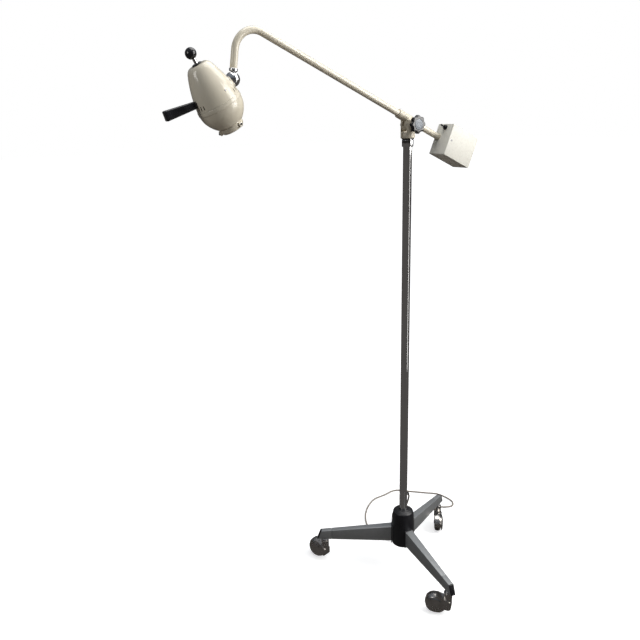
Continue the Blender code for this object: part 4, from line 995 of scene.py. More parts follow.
    def _tie(self, shop: Workshop, shift: Vector) -> Object:
        """Make the strap that holds the coil's turns together."""
        half_w, half_h, thick, half_strap, corner = 7.4 * MM, 13.6 * MM, 1.0 * MM, 4.0 * MM, 3.0 * MM
        quarter = [(half_w - corner + corner * math.cos(a), half_h - corner + corner * math.sin(a))
                   for a in (math.pi / 2 * k / 5 for k in range(6))]
        upper = quarter + [(-x, z) for x, z in quarter[::-1]]
        outline = upper + [(-x, -z) for x, z in upper]
        bm = bmesh.new()
        loops = []
        for y, grow in ((-half_strap, 0.0), (half_strap, 0.0), (half_strap, thick), (-half_strap, thick)):
            loops.append([bm.verts.new((x + math.copysign(grow, x), y, z + math.copysign(grow, z)))
                          for x, z in outline])
        count = len(loops[0])
        for a, b in zip(loops, loops[1:] + loops[:1]):
            for k in range(count):
                n = (k + 1) % count
                bm.faces.new((a[k], a[n], b[n], b[k]))
        bmesh.ops.recalc_face_normals(bm, faces=bm.faces)
        place = Matrix.Translation(shift) @ turned("Z", 139.0,
                                                   (*self.coil_centre, 0.0)) @ Matrix.Translation(
            (self.coil_mean, 0.0, half_h + 1.1 * MM))
        return shop.place(as_object("coil_tie", bm, place), "black_plastic", "stand")

    def _gland(self, shop: Workshop, shift: Vector) -> None:
        """Make the gland nut and its ribbed bend relief on the pole."""
        side = turned("Y", 90.0, (0.0, 0.0, self.gland_height))
        radial = Matrix.Translation(shift) @ turned("Z", self.gland_angle) @ side
        nut = rounded(mm([(0, 14.6, 0), (8.7, 14.6, 0.6), (8.7, 22.5, 1), (6.6, 25.2, 1.5), (0, 25.4, 0)]))
        shop.turned_piece("gland_nut", nut, "black_plastic", "stand", radial, ("cord_gland",), 12, 20.0)
        outward = Matrix.Rotation(math.radians(self.gland_angle), 3, "Z")
        nose = [(0.0230, 0, 0.3000), (0.0330, 0, 0.2992), (0.0405, 0, 0.2960), (0.0470, 0, 0.2905),
                (0.0520, 0, 0.2835)]
        path = smooth_curve([outward @ Vector(p) + shift for p in nose], 12)
        last, groove = len(path) - 1, 0.93
        radii = [(6.1 - 2.0 * k / last) * MM * (1.0 if k % 4 < 2 else groove) for k in range(len(path))]
        shop.place(as_object("gland_relief", tapered_sweep(path, radii)), "black_plastic", "stand")


# ---------------------------------------------------------------- stand
@dataclass
class Stand:
    """Hub, legs, end caps, pole and its collar."""

    foot: tuple[float, float] = POLE_FOOT
    leg_turns: tuple[tuple[str, float], ...] = (("left", 140.5), ("front", 260.5), ("back", 20.5))
    near: float = 0.050
    far: float = 0.3246
    joint_line: float = 0.2830
    widths: tuple[float, float] = (30.9 * MM, 19.0 * MM)
    tops: tuple[float, float] = (0.1725, 0.1356)
    bottoms: tuple[float, float] = (0.1087, 0.0991)
    slant: float = 14.0 * MM
    pole_step: float = 20.0 * MM

    def build(self, shop: Workshop) -> None:
        """Make every piece of the stand."""
        root = moved(*self.foot, 0.0)
        self._hub(shop, root)
        for side, turn in self.leg_turns:
            self._leg(shop, side, root @ turned("Z", turn))
        self._pole(shop, root)

    def _hub(self, shop: Workshop, root: Matrix) -> None:
        """Make the black hub cover with rounded shoulders and a lip round the pole."""
        cover = rounded(mm([(41, 99.7, 1.5), (42.5, 99.7, 1.2), (44, 106.5, 5), (44, 190, 12),
            (42, 222, 14), (38.5, 240.5, 7), (26, 249, 5), (22, 248, 1.5), (20.6, 249.8, 0.8),
            (16.2, 249.8, 0.8), (15.4, 245, 0.2), (15.4, 243, 0), (34, 240, 3), (40, 210, 5),
            (41, 190, 5)]), 7)
        shop.turned_piece("hub_cover_shell", cover, "black_plastic", "stand", root, ("hub_cover",), 128)
        for side, turn in self.leg_turns:
            half, top, _ = self._section(self.near)
            frame = [(0.0425, half + 2.6 * MM, 0.1010), (0.0462, half + 1.4 * MM, 0.1020)]
            loops = [[(x, -w, low), (x, w, low), (x, w, top + 2.4 * MM + 0.8 * MM * (k == 0)),
                      (x, -w, top + 2.4 * MM + 0.8 * MM * (k == 0))] for k, (x, w, low) in enumerate(frame)]
            lip = as_object(f"leg_collar_{side}", soften(hull_bar(loops), 1.0 * MM, 3),
                            root @ turned("Z", turn))
            shop.place(lip, "black_plastic", "stand")

    def _section(self, radial: float) -> tuple[float, float, float]:
        """Return half the width, the top and the bottom of a leg at a distance from the pole."""
        share = (radial - self.near) / (self.far - self.near)
        low, high = self.widths
        return ((low + (high - low) * share) / 2, self.tops[0] + (self.tops[1] - self.tops[0]) * share,
                self.bottoms[0] + (self.bottoms[1] - self.bottoms[0]) * share)

    def _slab(self, inner: float, outer: float, slants: tuple[float, float], grow: float = 0.0) -> BMesh:
        """Return a stretch of leg between two distances from the pole."""
        loops = []
        for radial, slant in ((inner, slants[0]), (outer, slants[1])):
            half, top, bottom = self._section(radial)
            half += grow
            loops.append([(radial, -half, top + grow), (radial, half, top + grow),
                          (radial + slant, half, bottom - grow), (radial + slant, -half, bottom - grow)])
        return hull_bar(loops)

    def _leg(self, shop: Workshop, side: str, place: Matrix) -> None:
        """Make a leg of two pressed lengths, with its moulded end cap."""
        inner = as_object(f"leg_{side}_beam", soften(self._slab(0.032, self.joint_line, (0, 0)), 2.0 * MM,
                                                     4), place)
        shop.place(inner, "silver_leg_paint", "stand", (f"leg_{side}",), 40.0)
        outer = as_object(f"leg_{side}_shoe", soften(
            self._slab(self.joint_line + 0.5 * MM, self.far, (0, self.slant), 0.1 * MM), 1.9 * MM, 4),
                          place)
        shop.place(outer, "silver_leg_paint", "stand", (), 40.0)
        cap = as_object(f"leg_{side}_cap", soften(
            self._slab(self.far + 0.2 * MM, self.far + 5.2 * MM, (self.slant, self.slant), 0.3 * MM),
            2.3 * MM, 5), place)
        shop.place(cap, "black_plastic", "stand", (f"leg_cap_{side}",), 40.0)

    def _pole(self, shop: Workshop, root: Matrix) -> None:
        """Make the pole, its collar and the dark bearing washer."""
        tube = rounded(mm([(13, 108, 0), (15, 108, 0), (15, 1662, 0.4), (13, 1662, 0)]))
        shop.turned_piece("pole_tube", stepped(tube, self.pole_step), "chrome", "stand", root, ("pole",),
                          96)
        collar = rounded(mm([(15.3, 1620.5, 0), (17.8, 1620.3, 0.8), (19.2, 1622.5, 0.8),
            (19.2, 1641.2, 0.8), (17.9, 1643.3, 0.8), (15.3, 1643.3, 0)]))
        shop.turned_piece("collar_ring", collar, "chrome", "stand", root, ("pole_collar",), 96)
        washer = rounded(mm([(15.4, 1644, 0), (20.4, 1644, 0.5), (20.4, 1647, 0.5), (15.4, 1647, 0)]))
        shop.turned_piece("bearing_washer", washer, "black_plastic", "stand", root, ("swivel_washer",), 72)


# ---------------------------------------------------------------- castors
@dataclass
class Castors:
    """The three hooded castors, alike but for where they stand and point."""

    trail: float = 43.0 * MM
    wheel: float = 36.0 * MM
    under_clear: float = 9.0 * MM
    fender_line: tuple[float, float] = (13.6 * MM, 33.0 * MM)
    turns: tuple[tuple[str, float], ...] = (("left", 102.0), ("front", 127.0), ("back", -131.0))

    def build(self, shop: Workshop) -> None:
        """Make each castor's hood, wheel, hub cap and axle."""
        for side, turn in self.turns:
            x, y, _ = shop.joint(f"caster_swivel_{side}")["pos_m"]
            place = turned("Z", turn, (x, y, 0.0))
            axle = place @ moved(self.trail, 0.0, self.wheel) @ turned("X", -90.0)
            self._hood(shop, side, place, axle)
            self._wheel(shop, side, axle)

    def _hood(self, shop: Workshop, side: str, place: Matrix, axle: Matrix) -> None:
        """Make the polished hood with its swivel boss and its hollow for the wheel."""
        dome = rounded(mm([(0, 22, 0), (14, 21.8, 8), (26.5, 20.4, 4), (33.2, 16.6, 5), (38.4, 8.4, 5),
            (39.5, 2, 4), (39.5, -13, 0.6), (0, -13, 0)]), 6)
        hood = as_object(f"castor_{side}_hood", lathe(dome, 112), axle)
        boss = as_object("boss", lathe(rounded(mm([(0, 30, 0), (9, 30.3, 2), (15, 40, 8),
            (15, 92.5, 2), (0, 92.5, 0)])), 64), place)
        hollow = as_object("hollow", lathe(mm([(0, 14.2), (30, 14.2), (37.6, 8), (37.6, -16), (0, -16)]),
                                           96), axle)
        under = as_object("under", block((-0.03, -0.03, -0.02), (0.1, 0.03, self.under_clear)), place)
        side_view = turned("X", -90.0)
        web = as_object("web", prism([
            (-13.0 * MM, -0.0560), (-13.0 * MM, -0.0300), (-6.0 * MM, -0.0240), (self.trail, -0.0240),
            (self.trail, -0.0754), (34.0 * MM, -0.0749), (20.0 * MM, -0.0715), (0.0, -0.0630)],
            -12.6 * MM, 17.0 * MM), place @ side_view)
        corner = as_object("corner", prism([
            (self.trail + 41.0 * MM, -0.0380), (self.trail + 21.0 * MM, 0.0010),
            (self.trail + 60.0 * MM, 0.0010),
            (self.trail + 60.0 * MM, -0.0380)], -0.03, 0.03), place @ side_view)
        fender = as_object("fender", block((self.trail + 12.0 * MM, -0.03, -0.02),
                                           (0.12, *self.fender_line)), place)
        socket = as_object("socket", lathe(mm([(0, 54.5), (5.8, 54.5), (5.8, 110), (0, 110)]), 32), place)
        carve(hood, [("UNION", boss), ("UNION", web), ("DIFFERENCE", hollow), ("DIFFERENCE", under),
                     ("DIFFERENCE", corner), ("DIFFERENCE", fender), ("DIFFERENCE", socket)])
        ease_edges(hood, 0.8 * MM, 3, 30.0)
        # The hood's darker, brown-tinted chrome paints in the floor's reflection.
        shop.place(hood, "castor_chrome_painted_reflection", f"caster_{side}", (f"caster_hood_{side}",), 26.0)

    def _wheel(self, shop: Workshop, side: str, axle: Matrix) -> None:
        """Make the wheel with a rounded tread and a hub disc, and the axle that it turns on."""
        tread = rounded(mm([(4.2, -13.2, 0), (13, -14.2, 1), (22, -12.4, 2), (27, -13.8, 1.5),
            (33.2, -11.6, 3), (36, -5.5, 4), (36, 2.5, 4), (33, 8.6, 3), (28, 11.4, 2), (12, 12.8, 1),
            (4.2, 12.8, 0)]), 6)
        shop.turned_piece(f"castor_{side}_tread", tread, "tread_brown", f"wheel_{side}", axle,
                          (f"caster_wheel_{side}",), 96)
        pin = rounded(mm([(0, -16.5, 0), (6.2, -16.5, 1), (6.8, -15.2, 0.3), (4, -15, 0), (4, 13.9, 0),
            (0, 13.9, 0)]))
        shop.turned_piece(f"castor_{side}_axle", pin, "turned_steel", f"caster_{side}", axle,
                          (f"caster_axle_{side}",), 40)


# ---------------------------------------------------------------- clamp
@dataclass
class Clamp:
    """The fork on the pole with its bolt, and the star knob."""

    lobes: int = 8
    knob_radius: float = 26.9 * MM
    lobe_height: float = 2.0 * MM
    back: float = 39.0 * MM
    thickness: float = 15.0 * MM
    rim: float = 3.6 * MM
    seat_depth: float = 11.0 * MM
    outline_steps: int = 192

    def build(self, shop: Workshop) -> None:
        """Make the fork, bolt, knob and cap."""
        x, y, z = shop.joint("boom_tilt")["pos_m"]
        root = moved(x, y, 0.0)
        forward = moved(x, y, z) @ turned("X", 90.0)
        self._fork(shop, root, forward)
        self._knob(shop, forward)

    def _fork(self, shop: Workshop, root: Matrix, forward: Matrix) -> None:
        """Make the cast fork, soft at its edges, and the bolt with its domed head."""
        body = lathe(rounded(mm([(15.6, 1647.5, 0), (22.6, 1647.5, 0.8), (23.3, 1650, 1.2),
            (23.3, 1706.5, 3.2), (0, 1706.5, 0), (0, 1664, 0), (15.6, 1664, 0)]), 6), 112)
        fork = as_object("fork_casting", body, root)
        slot = as_object("slot", block((-0.04, -15.0 * MM, 1.6660), (0.04, 15.0 * MM, 1.72)), root)
        bore = as_object("bore", lathe(mm([(0, -40), (5, -40), (5, 40), (0, 40)]), 32), forward)
        slit = as_object("slit", block((-0.03, -5.0 * MM, 1.6505), (-18.0 * MM, 3.0 * MM, 1.67)), root)
        carve(fork, [("DIFFERENCE", slot), ("DIFFERENCE", bore), ("DIFFERENCE", slit)])
        ease_edges(fork, 0.7 * MM, 2, 50.0)
        shop.place(fork, "cream_casting", "fork", ("clamp_fork",), 40.0)
        bolt = rounded(mm([(0, -29, 0), (6, -29, 2), (9.6, -27.2, 1), (9.6, -23.7, 0.4),
            (4.7, -23.7, 0), (4.7, 49, 0.6), (0, 49, 0)]))
        shop.turned_piece("pivot_bolt", bolt, "turned_steel", "fork", forward, ("hinge_bolt",), 48)

    def _knob(self, shop: Workshop, forward: Matrix) -> None:
        """Make the lobed knob and the metal disc let into its face."""
        outline = []
        for k in range(self.outline_steps):
            angle = 2.0 * math.pi * k / self.outline_steps
            reach = self.knob_radius + self.lobe_height * math.cos(self.lobes * angle)
            outline.append((reach * math.cos(angle), reach * math.sin(angle)))
        bm = prism(outline, self.back, self.back + self.thickness)
        rims = [e for e in bm.edges if abs(e.verts[0].co.z - e.verts[1].co.z) < 1e-6]
        bmesh.ops.bevel(bm, geom=rims, offset=self.rim, offset_type="OFFSET", segments=6, profile=0.5,
                        affect="EDGES", clamp_overlap=True)
        knob = as_object("star_knob_body", bm, forward)
        neck = as_object("neck", lathe([(0.0, 24.0 * MM), (12.0 * MM, 24.0 * MM),
                                        (12.0 * MM, self.back - 4.0 * MM),
                                        (14.5 * MM, self.back + 2.0 * MM), (0.0, self.back + 2.0 * MM)],
                                       48), forward)
        seat = self.back + self.seat_depth
        well = as_object("well", lathe([
            (0.0, 20.0 * MM), (5.0 * MM, 20.0 * MM), (5.0 * MM, seat), (17.2 * MM, seat),
            (17.2 * MM, seat + 6.0 * MM), (0.0, seat + 6.0 * MM)], 72), forward)
        carve(knob, [("UNION", neck), ("DIFFERENCE", well)])
        shop.place(knob, "black_knob", "star_knob", ("star_knob",), 35.0)
        disc = rounded([(0.0, seat + 0.2 * MM, 0), (16.8 * MM, seat + 0.2 * MM, 0.2 * MM),
                        (16.8 * MM, seat + 3.6 * MM, 0.5 * MM), (15.6 * MM, seat + 4.6 * MM, 0.8 * MM),
                        (8.0 * MM, seat + 5.4 * MM, 6 * MM), (0.0, seat + 5.6 * MM, 0)])
        shop.turned_piece("star_knob_disc", disc, "cap_grey", "star_knob", forward, ("knob_cap",), 80)


# ---------------------------------------------------------------- boom
@dataclass
class Boom:
    """The sleeve casting, the bent tube and the collar at the neck's end."""

    tilt: float = 24.33
    rise: float = 17.0 * MM
    radius: float = 10.0 * MM
    corner: float = 0.6530
    rear: float = 0.1620
    bend: float = 61.0 * MM
    neck_turn: float = 105.0
    knuckle: float = 0.1550
    neck_end: float = 22.0 * MM
    straight_steps: int = 64
    bend_steps: int = 48
    sides: int = 64

    def line(self) -> tuple[float, float]:
        """Return the tube's start and its height above the hinge, in the boom's own frame."""
        angle = math.radians(self.tilt)
        return -self.rise * math.sin(angle), self.rise * math.cos(angle)

    def matrix(self, shop: Workshop) -> Matrix:
        """Return the boom's own frame, which tilts about the hinge."""
        return turned("Y", self.tilt, tuple(shop.joint("boom_tilt")["pos_m"]))

    def neck(self) -> tuple[Vector, Vector]:
        """Return the bend's corner and the neck's direction, in the boom's own frame."""
        start, height = self.line()
        turn = math.radians(self.neck_turn)
        return Vector((start - self.corner, 0.0, height)), Vector((-math.cos(turn), 0.0, -math.sin(turn)))

    def build(self, shop: Workshop) -> None:
        """Make the boom's pieces."""
        matrix = self.matrix(shop)
        self._tube(shop, matrix)
        self._sleeve(shop, matrix)
        self._collar(shop, matrix)

    def _path(self) -> list[Vector]:
        """Return the tube's centre line: straight, round the bend, and down the neck."""
        start, height = self.line()
        corner, neck = self.neck()
        forward = Vector((-1.0, 0.0, 0.0))
        half_turn = math.radians(self.neck_turn) / 2.0
        centre = corner + (neck - forward).normalized() * (self.bend / math.cos(half_turn))
        first = corner - forward * self.bend * math.tan(half_turn)
        path = [Vector((start + self.rear, 0.0, height)), Vector((start, 0.0, height))]
        steps = self.straight_steps
        path += [path[1].lerp(first, k / steps) for k in range(1, steps)]
        steps = self.bend_steps
        path += [centre + Matrix.Rotation(-math.radians(self.neck_turn) * k / steps, 3,
                                          "Y") @ (first - centre)
                 for k in range(steps + 1)]
        path.append(corner + neck * (self.knuckle - self.neck_end))
        return path

    def _tube(self, shop: Workshop, matrix: Matrix) -> None:
        """Sweep the enamelled tube along its line."""
        bm = bmesh.new()
        verts = [bm.verts.new(p) for p in self._path()]
        for a, b in zip(verts, verts[1:]):
            bm.edges.new((a, b))
        tube = as_object("boom_pipe", bm)
        shop.repeats.run(tube, shop.repeats.tube, {"Radius": self.radius, "Sides": self.sides,
                                                   "Material": shop.materials["cream_enamel"]}, matrix)
        shop.place(tube, "cream_enamel", "boom", ("boom_tube",), 50.0)

    def _sleeve(self, shop: Workshop, matrix: Matrix) -> None:
        """Make the sleeve that grips the tube, its saddle, and its grub screws."""
        start, height = self.line()
        along = matrix @ moved(start, 0.0, height) @ turned("Y", 90.0)
        shell = rounded(mm([(10.3, -47, 0.3), (13.2, -47, 0.8), (14.2, -45.5, 1), (14.2, 48.5, 1),
            (13.2, 50, 0.8), (10.3, 50, 0.3)]))
        shop.turned_piece("boom_socket", shell, "cream_casting", "boom", along, ("boom_sleeve",), 80)
        saddle = as_object("boom_saddle", lathe(rounded(mm([(5, -14.6, 0.3), (20.5, -14.6, 3),
            (20.5, 14.6, 3), (5, 14.6, 0.3)])), 88), matrix @ turned("X", 90.0))
        pipe = as_object("pipe", lathe(mm([(0, -80), (12, -80), (12, 80), (0, 80)]), 48), along)
        slit = as_object("slit", block((-0.03, -4.0 * MM, -12.0 * MM), (-9.0 * MM, 4.0 * MM, 1.0 * MM)),
                         matrix)
        carve(saddle, [("DIFFERENCE", pipe), ("DIFFERENCE", slit)])
        shop.place(saddle, "cream_casting", "boom", (), 35.0)
        for k, reach in enumerate((-41.0 * MM, 42.0 * MM)):
            place = matrix @ moved(start + reach, 0.0, height)
            screw = rounded(mm([(0, 12, 0), (3, 12, 0), (3, 15.6, 0.6), (1.5, 16.1, 0.2),
                (1.5, 14.8, 0), (0, 14.8, 0)]))
            shop.turned_piece(f"grub_screw_{k}", screw, "turned_steel", "boom", place, (), 24)

    def _collar(self, shop: Workshop, matrix: Matrix) -> None:
        """Make the plated collar with its turned grooves."""
        corner, neck = self.neck()
        up_neck = (-neck).to_track_quat("Z", "Y").to_matrix().to_4x4()
        place = matrix @ Matrix.Translation(corner + neck * self.knuckle) @ up_neck
        ring = rounded(mm([(7, 20.6, 0), (10.4, 20.6, 0.6), (11.5, 21.6, 0.6), (11.5, 23.6, 0.3),
            (11, 24.1, 0.2), (11.5, 24.6, 0.3), (11.5, 27.2, 0.5), (10.8, 28, 0.3), (10.1, 28, 0),
            (10.1, 21.8, 0), (7, 21.8, 0)]))
        shop.turned_piece("neck_ferrule", ring, "chrome", "boom", place, ("neck_collar",), 72)


# ---------------------------------------------------------------- transformer box
@dataclass
class TransformerBox:
    """The sheet-metal box, its front cover, vents and toggle switch."""

    face: float = 0.1466
    length: float = 0.1276
    height: float = 0.1050
    depth: float = 0.0726
    shift_y: float = -20.6 * MM
    shift_z: float = -6.6 * MM
    sheet: float = 1.5 * MM
    slot_rows: tuple[float, float] = (0.018, 0.054)
    slot_start: float = 0.020
    slot_step: float = 0.022
    slot_count: int = 5

    def build(self, shop: Workshop, boom: Boom) -> None:
        """Make the box and its fittings."""
        matrix = boom.matrix(shop)
        start, height = boom.line()
        low = Vector((start + self.face, self.shift_y - self.depth / 2,
                      height + self.shift_z - self.height / 2))
        high = low + Vector((self.length, self.depth, self.height))
        self._shell(shop, matrix, low, high, height)
        self._cover(shop, matrix, low, high)
        self._switch(shop, matrix)

    def _shell(self, shop: Workshop, matrix: Matrix, low: Vector, high: Vector, height: float) -> None:
        """Make the folded shell with its boom hole, switch hole and two rows of vents."""
        sheet = self.sheet
        shell = as_object("box_case", block((low.x, low.y + sheet + 0.2 * MM, low.z), tuple(high), 1.6 * MM,
                                            4), matrix)
        inside = as_object("inside", block((low.x + sheet, low.y - 0.01, low.z + sheet),
                                           (high.x - sheet, high.y - sheet, high.z - sheet)), matrix)
        slots = []
        for row, y in enumerate(self.slot_rows):
            cutter = as_object(f"slot_row_{row}", self._slot(low.x + self.slot_start, low.y + y, low.z))
            shop.repeats.run(cutter, shop.repeats.row,
                             {"Count": self.slot_count, "Step": (self.slot_step, 0.0, 0.0),
                                                        "Material": shop.materials["box_paint"]}, matrix)
            slots.append(("DIFFERENCE", cutter))
        hole = as_object("hole", lathe(mm([(0, -10), (10.4, -10), (10.4, 10), (0, 10)]), 64),
                         matrix @ moved(low.x, 0.0, height) @ turned("Y", 90.0))
        carve(shell, [("DIFFERENCE", inside), ("DIFFERENCE", hole), *slots])
        shop.place(shell, "box_paint", "boom", ("box_shell",), 40.0)
        grommet = rounded(mm([(10.1, -1.2, 0.4), (12.6, -1, 0.6), (12.9, 0.4, 0.2), (10.1, 0.4, 0)]))
        place = matrix @ moved(low.x, 0.0, height) @ turned("Y", 90.0)
        shop.turned_piece("boom_grommet", grommet, "cream_casting", "boom", place, (), 56)

    @staticmethod
    def _slot(x: float, y: float, z: float) -> BMesh:
        """Return a cutter for one round-ended slot."""
        half, radius = 8.0 * MM, 2.2 * MM
        ends = []
        for side in (1, -1):
            for k in range(9):
                angle = math.pi * (k / 8 - 0.5) + (0 if side > 0 else math.pi)
                ends.append((x + side * (half - radius) + radius * math.cos(angle),
                             y + radius * math.sin(angle)))
        return prism(ends, z - 0.01, z + 0.01)

    def _cover(self, shop: Workshop, matrix: Matrix, low: Vector, high: Vector) -> None:
        """Make the flat cover and its cross-head screw."""
        cover = as_object("box_lid", block((low.x + 0.1 * MM, low.y, low.z + 0.1 * MM),
                                           (high.x - 0.1 * MM, low.y + self.sheet, high.z - 0.1 * MM),
                                           0.7 * MM, 3), matrix)
        shop.place(cover, "box_paint", "boom", ("box_cover",), 40.0)
        place = matrix @ moved(low.x + 12 * MM, low.y, (low.z + high.z) / 2) @ turned("X", 90.0)
        head = rounded(mm([(0, 0.05, 0), (3.3, 0.05, 0.2), (3.3, 0.9, 0.5), (1.8, 1.9, 1), (0, 2.1, 0)]))
        screw = as_object("lid_screw", lathe(head, 36), place)
        cuts = [("DIFFERENCE", as_object(f"cross_{k}",
                                         block((-2.2 * MM, -0.4 * MM, 1.0 * MM),
                                               (2.2 * MM, 0.4 * MM, 4 * MM)),
                                         place @ turned("Z", 90.0 * k + 20.0))) for k in range(2)]
        shop.place(carve(screw, cuts), "turned_steel", "boom", ("cover_screw",))

    def _switch(self, shop: Workshop, matrix: Matrix) -> None:
        """Make the toggle switch: hexagon nut, threaded barrel and bat-shaped lever."""
        pivot = Vector(shop.joint("switch_toggle")["pos_m"])
        place = Matrix.Translation(pivot) @ matrix.to_3x3().to_4x4() @ turned("Y", -90.0)
        nut = rounded(mm([(6, 0.2, 0), (9, 0.2, 0.3), (9, 3, 0.5), (6, 3.2, 0)]))
        shop.turned_piece("switch_hex_nut", nut, "black_plastic", "boom", place, ("switch_body",), 6, 25.0)
        barrel = [(0.0, -19.5 * MM), (9.0 * MM, -19.5 * MM), (9.0 * MM, -2.0 * MM), (5.9 * MM, -1.9 * MM)]
        for k in range(8):
            barrel += [(5.9 * MM, (-1.0 + 1.05 * k) * MM), (5.5 * MM, (-0.5 + 1.05 * k) * MM)]
        barrel += [(5.6 * MM, 8.0 * MM), (4.7 * MM, 8.0 * MM), (3.7 * MM, 2.0 * MM), (3.7 * MM, -6.0 * MM),
                   (0.0, -6.0 * MM)]
        shop.turned_piece("switch_barrel", barrel, "black_plastic", "boom", place, (), 40)
        bat = rounded(mm([(0, -3, 0), (1.7, -2.6, 0.5), (2, 0, 2), (2, 11, 8), (3.3, 19.5, 6),
            (3, 22.8, 2), (0, 23.6, 0)]))
        shop.turned_piece("switch_bat", bat, "black_plastic", "switch_lever", place, ("switch_lever",), 32)


# ---------------------------------------------------------------- lamp head
@dataclass
class LampHead:
    """The knuckle, the egg-shaped shells, the light exit, optics, focusing knob and handle."""

    offset: float = 69.4 * MM
    top: float = 78.7 * MM
    wall: float = 2.0 * MM
    seam: float = 104.5
    ball: float = 20.0 * MM
    outline: tuple[tuple[float, float], ...] = (
        (0.0, 22.5), (1.2, 26.5), (5.0, 31.0), (12.0, 35.8), (35.0, 45.4), (60.0, 53.6), (85.0, 59.4),
        (104.5, 62.5),
        (118.0, 63.2), (135.0, 60.5), (150.0, 53.6), (163.0, 44.2), (171.0, 36.0))
    vent_turn: float = 196.0
    vent_step: float = 10.0
    vent_half: float = 1.65
    vent_span: tuple[float, float] = (87.5, 98.5)
    lug_turn: float = math.radians(168.0)
    fitting_depth: float = 80.0
    # Depths, gap and wall of the dark sheet behind the vents that paints the shade inside the head.
    liner_depths: tuple[float, ...] = (84.0, 90.0, 96.0, 102.0)
    liner_gap: float = 3.4 * MM
    liner_wall: float = 0.8 * MM

    def build(self, shop: Workshop) -> None:
        """Make every piece of the head."""
        joint = shop.joint("head_tilt")
        x, _, z = shop.joint("focus_slide")["axis"]
        self.matrix = turned("Y", math.degrees(math.atan2(x, z)), tuple(joint["pos_m"]))
        self.axis = self.matrix @ moved(-self.offset, 0.0, self.top)
        x, _, z = shop.joint("head_swivel")["axis"]
        self.neck = turned("Y", math.degrees(math.atan2(x, z)), tuple(joint["pos_m"]))
        self._knuckle(shop)
        self._upper(shop)
        self._lower(shop)
        self._exit(shop)
        self._optics(shop)
        self._focus(shop)
        self._handle(shop)

    def _radius(self, depth: float) -> float:
        """Return the head's radius in metres at a depth in millimetres below its flat top."""
        marks = self.outline
        k = max(n for n in range(len(marks) - 1) if depth >= marks[n][0] or n == 0)
        before, here, after = marks[max(k - 1, 0)], marks[k], marks[k + 1]
        beyond = marks[min(k + 2, len(marks) - 1)]
        span = after[0] - here[0]
        slope_in = (after[1] - before[1]) / (after[0] - before[0])
        slope_out = (beyond[1] - here[1]) / (beyond[0] - here[0])
        t = (depth - here[0]) / span
        value = ((2 * t ** 3 - 3 * t ** 2 + 1) * here[1] + (t ** 3 - 2 * t ** 2 + t) * span * slope_in
                 + (3 * t ** 2 - 2 * t ** 3) * after[1] + (t ** 3 - t ** 2) * span * slope_out)
        return value * MM

    def _knuckle(self, shop: Workshop) -> None:
        """Make the slotted ball in the head's side, the tongue that holds it and the pin."""
        ball = [(0.0, -17.0 * MM)] + [(self.ball * math.cos(a), self.ball * math.sin(a))
                                      for a in (math.radians(-58.0 + 148.0 * k / 40) for k in range(40))]
        ball.append((0.0, self.ball))
        dome = as_object("knuckle_ball", lathe(ball, 88), self.matrix @ turned("Y", 90.0))
        slot = as_object("slot", block((-8.6 * MM, -4.9 * MM, -0.03), (0.03, 4.9 * MM, 0.03)), self.matrix)
        carve(dome, [("DIFFERENCE", slot)])
        shop.place(ease_edges(dome, 0.5 * MM, 2, 50.0), "chrome", "head", ("knuckle_dome",), 40.0)
        eye = as_object("knuckle_link", lathe(rounded(mm([(3.2, -4.6, 0.3), (7.5, -4.6, 0.8),
            (7.5, 4.6, 0.8), (3.2, 4.6, 0.3)])), 48), self.neck @ turned("X", 90.0))
        flat = as_object("flat", block((-4.0 * MM, -4.2 * MM, 6.0 * MM), (4.0 * MM, 4.2 * MM, 22.0 * MM),
                                       0.8 * MM), self.neck)
        shank = as_object("shank", lathe(rounded(mm([(0, 20.6, 0), (6, 20.6, 0.8), (6, 39, 1),
            (0, 39, 0)])), 48), self.neck)
        carve(eye, [("UNION", flat), ("UNION", shank)])
        shop.place(eye, "chrome", "knuckle", ("knuckle_tongue",), 35.0)
        pin = rounded(mm([(0, -17.5, 0), (3, -17.5, 0.8), (3, 17.5, 0.8), (0, 17.5, 0)]))
        shop.turned_piece("knuckle_axle", pin, "turned_steel", "head", self.matrix @ turned("X", 90.0),
                          ("knuckle_pin",), 32)

    def _shell_grid(self, depths: list[float], angles: list[float], holes: set[tuple[int, int]],
                    proud: dict[int, float] | None = None) -> BMesh:
        """Return the outer skin between depths, with some of its cells left open.

        Args:
            depths: millimetres below the flat top, in order.
            angles: degrees round the head's axis, in order.
            holes: pairs of depth and angle numbers whose cell is left open.
            proud: how far a ring of points stands out from the skin, by its number.

        Returns:
            An open surface whose faces point outwards.
        """
        bm = bmesh.new()
        rings = []
        for row, depth in enumerate(depths):
            radius = self._radius(depth) + (proud or {}).get(row, 0.0)
            rings.append([bm.verts.new((radius * math.cos(math.radians(a)),
                                        radius * math.sin(math.radians(a)),
                                        -depth * MM)) for a in angles])
        count = len(angles)
        for row, (high, low) in enumerate(zip(rings, rings[1:])):
            for k in range(count):
                if (row, k) in holes:
                    continue
                n = (k + 1) % count
                bm.faces.new((low[k], low[n], high[n], high[k]))
        return bm

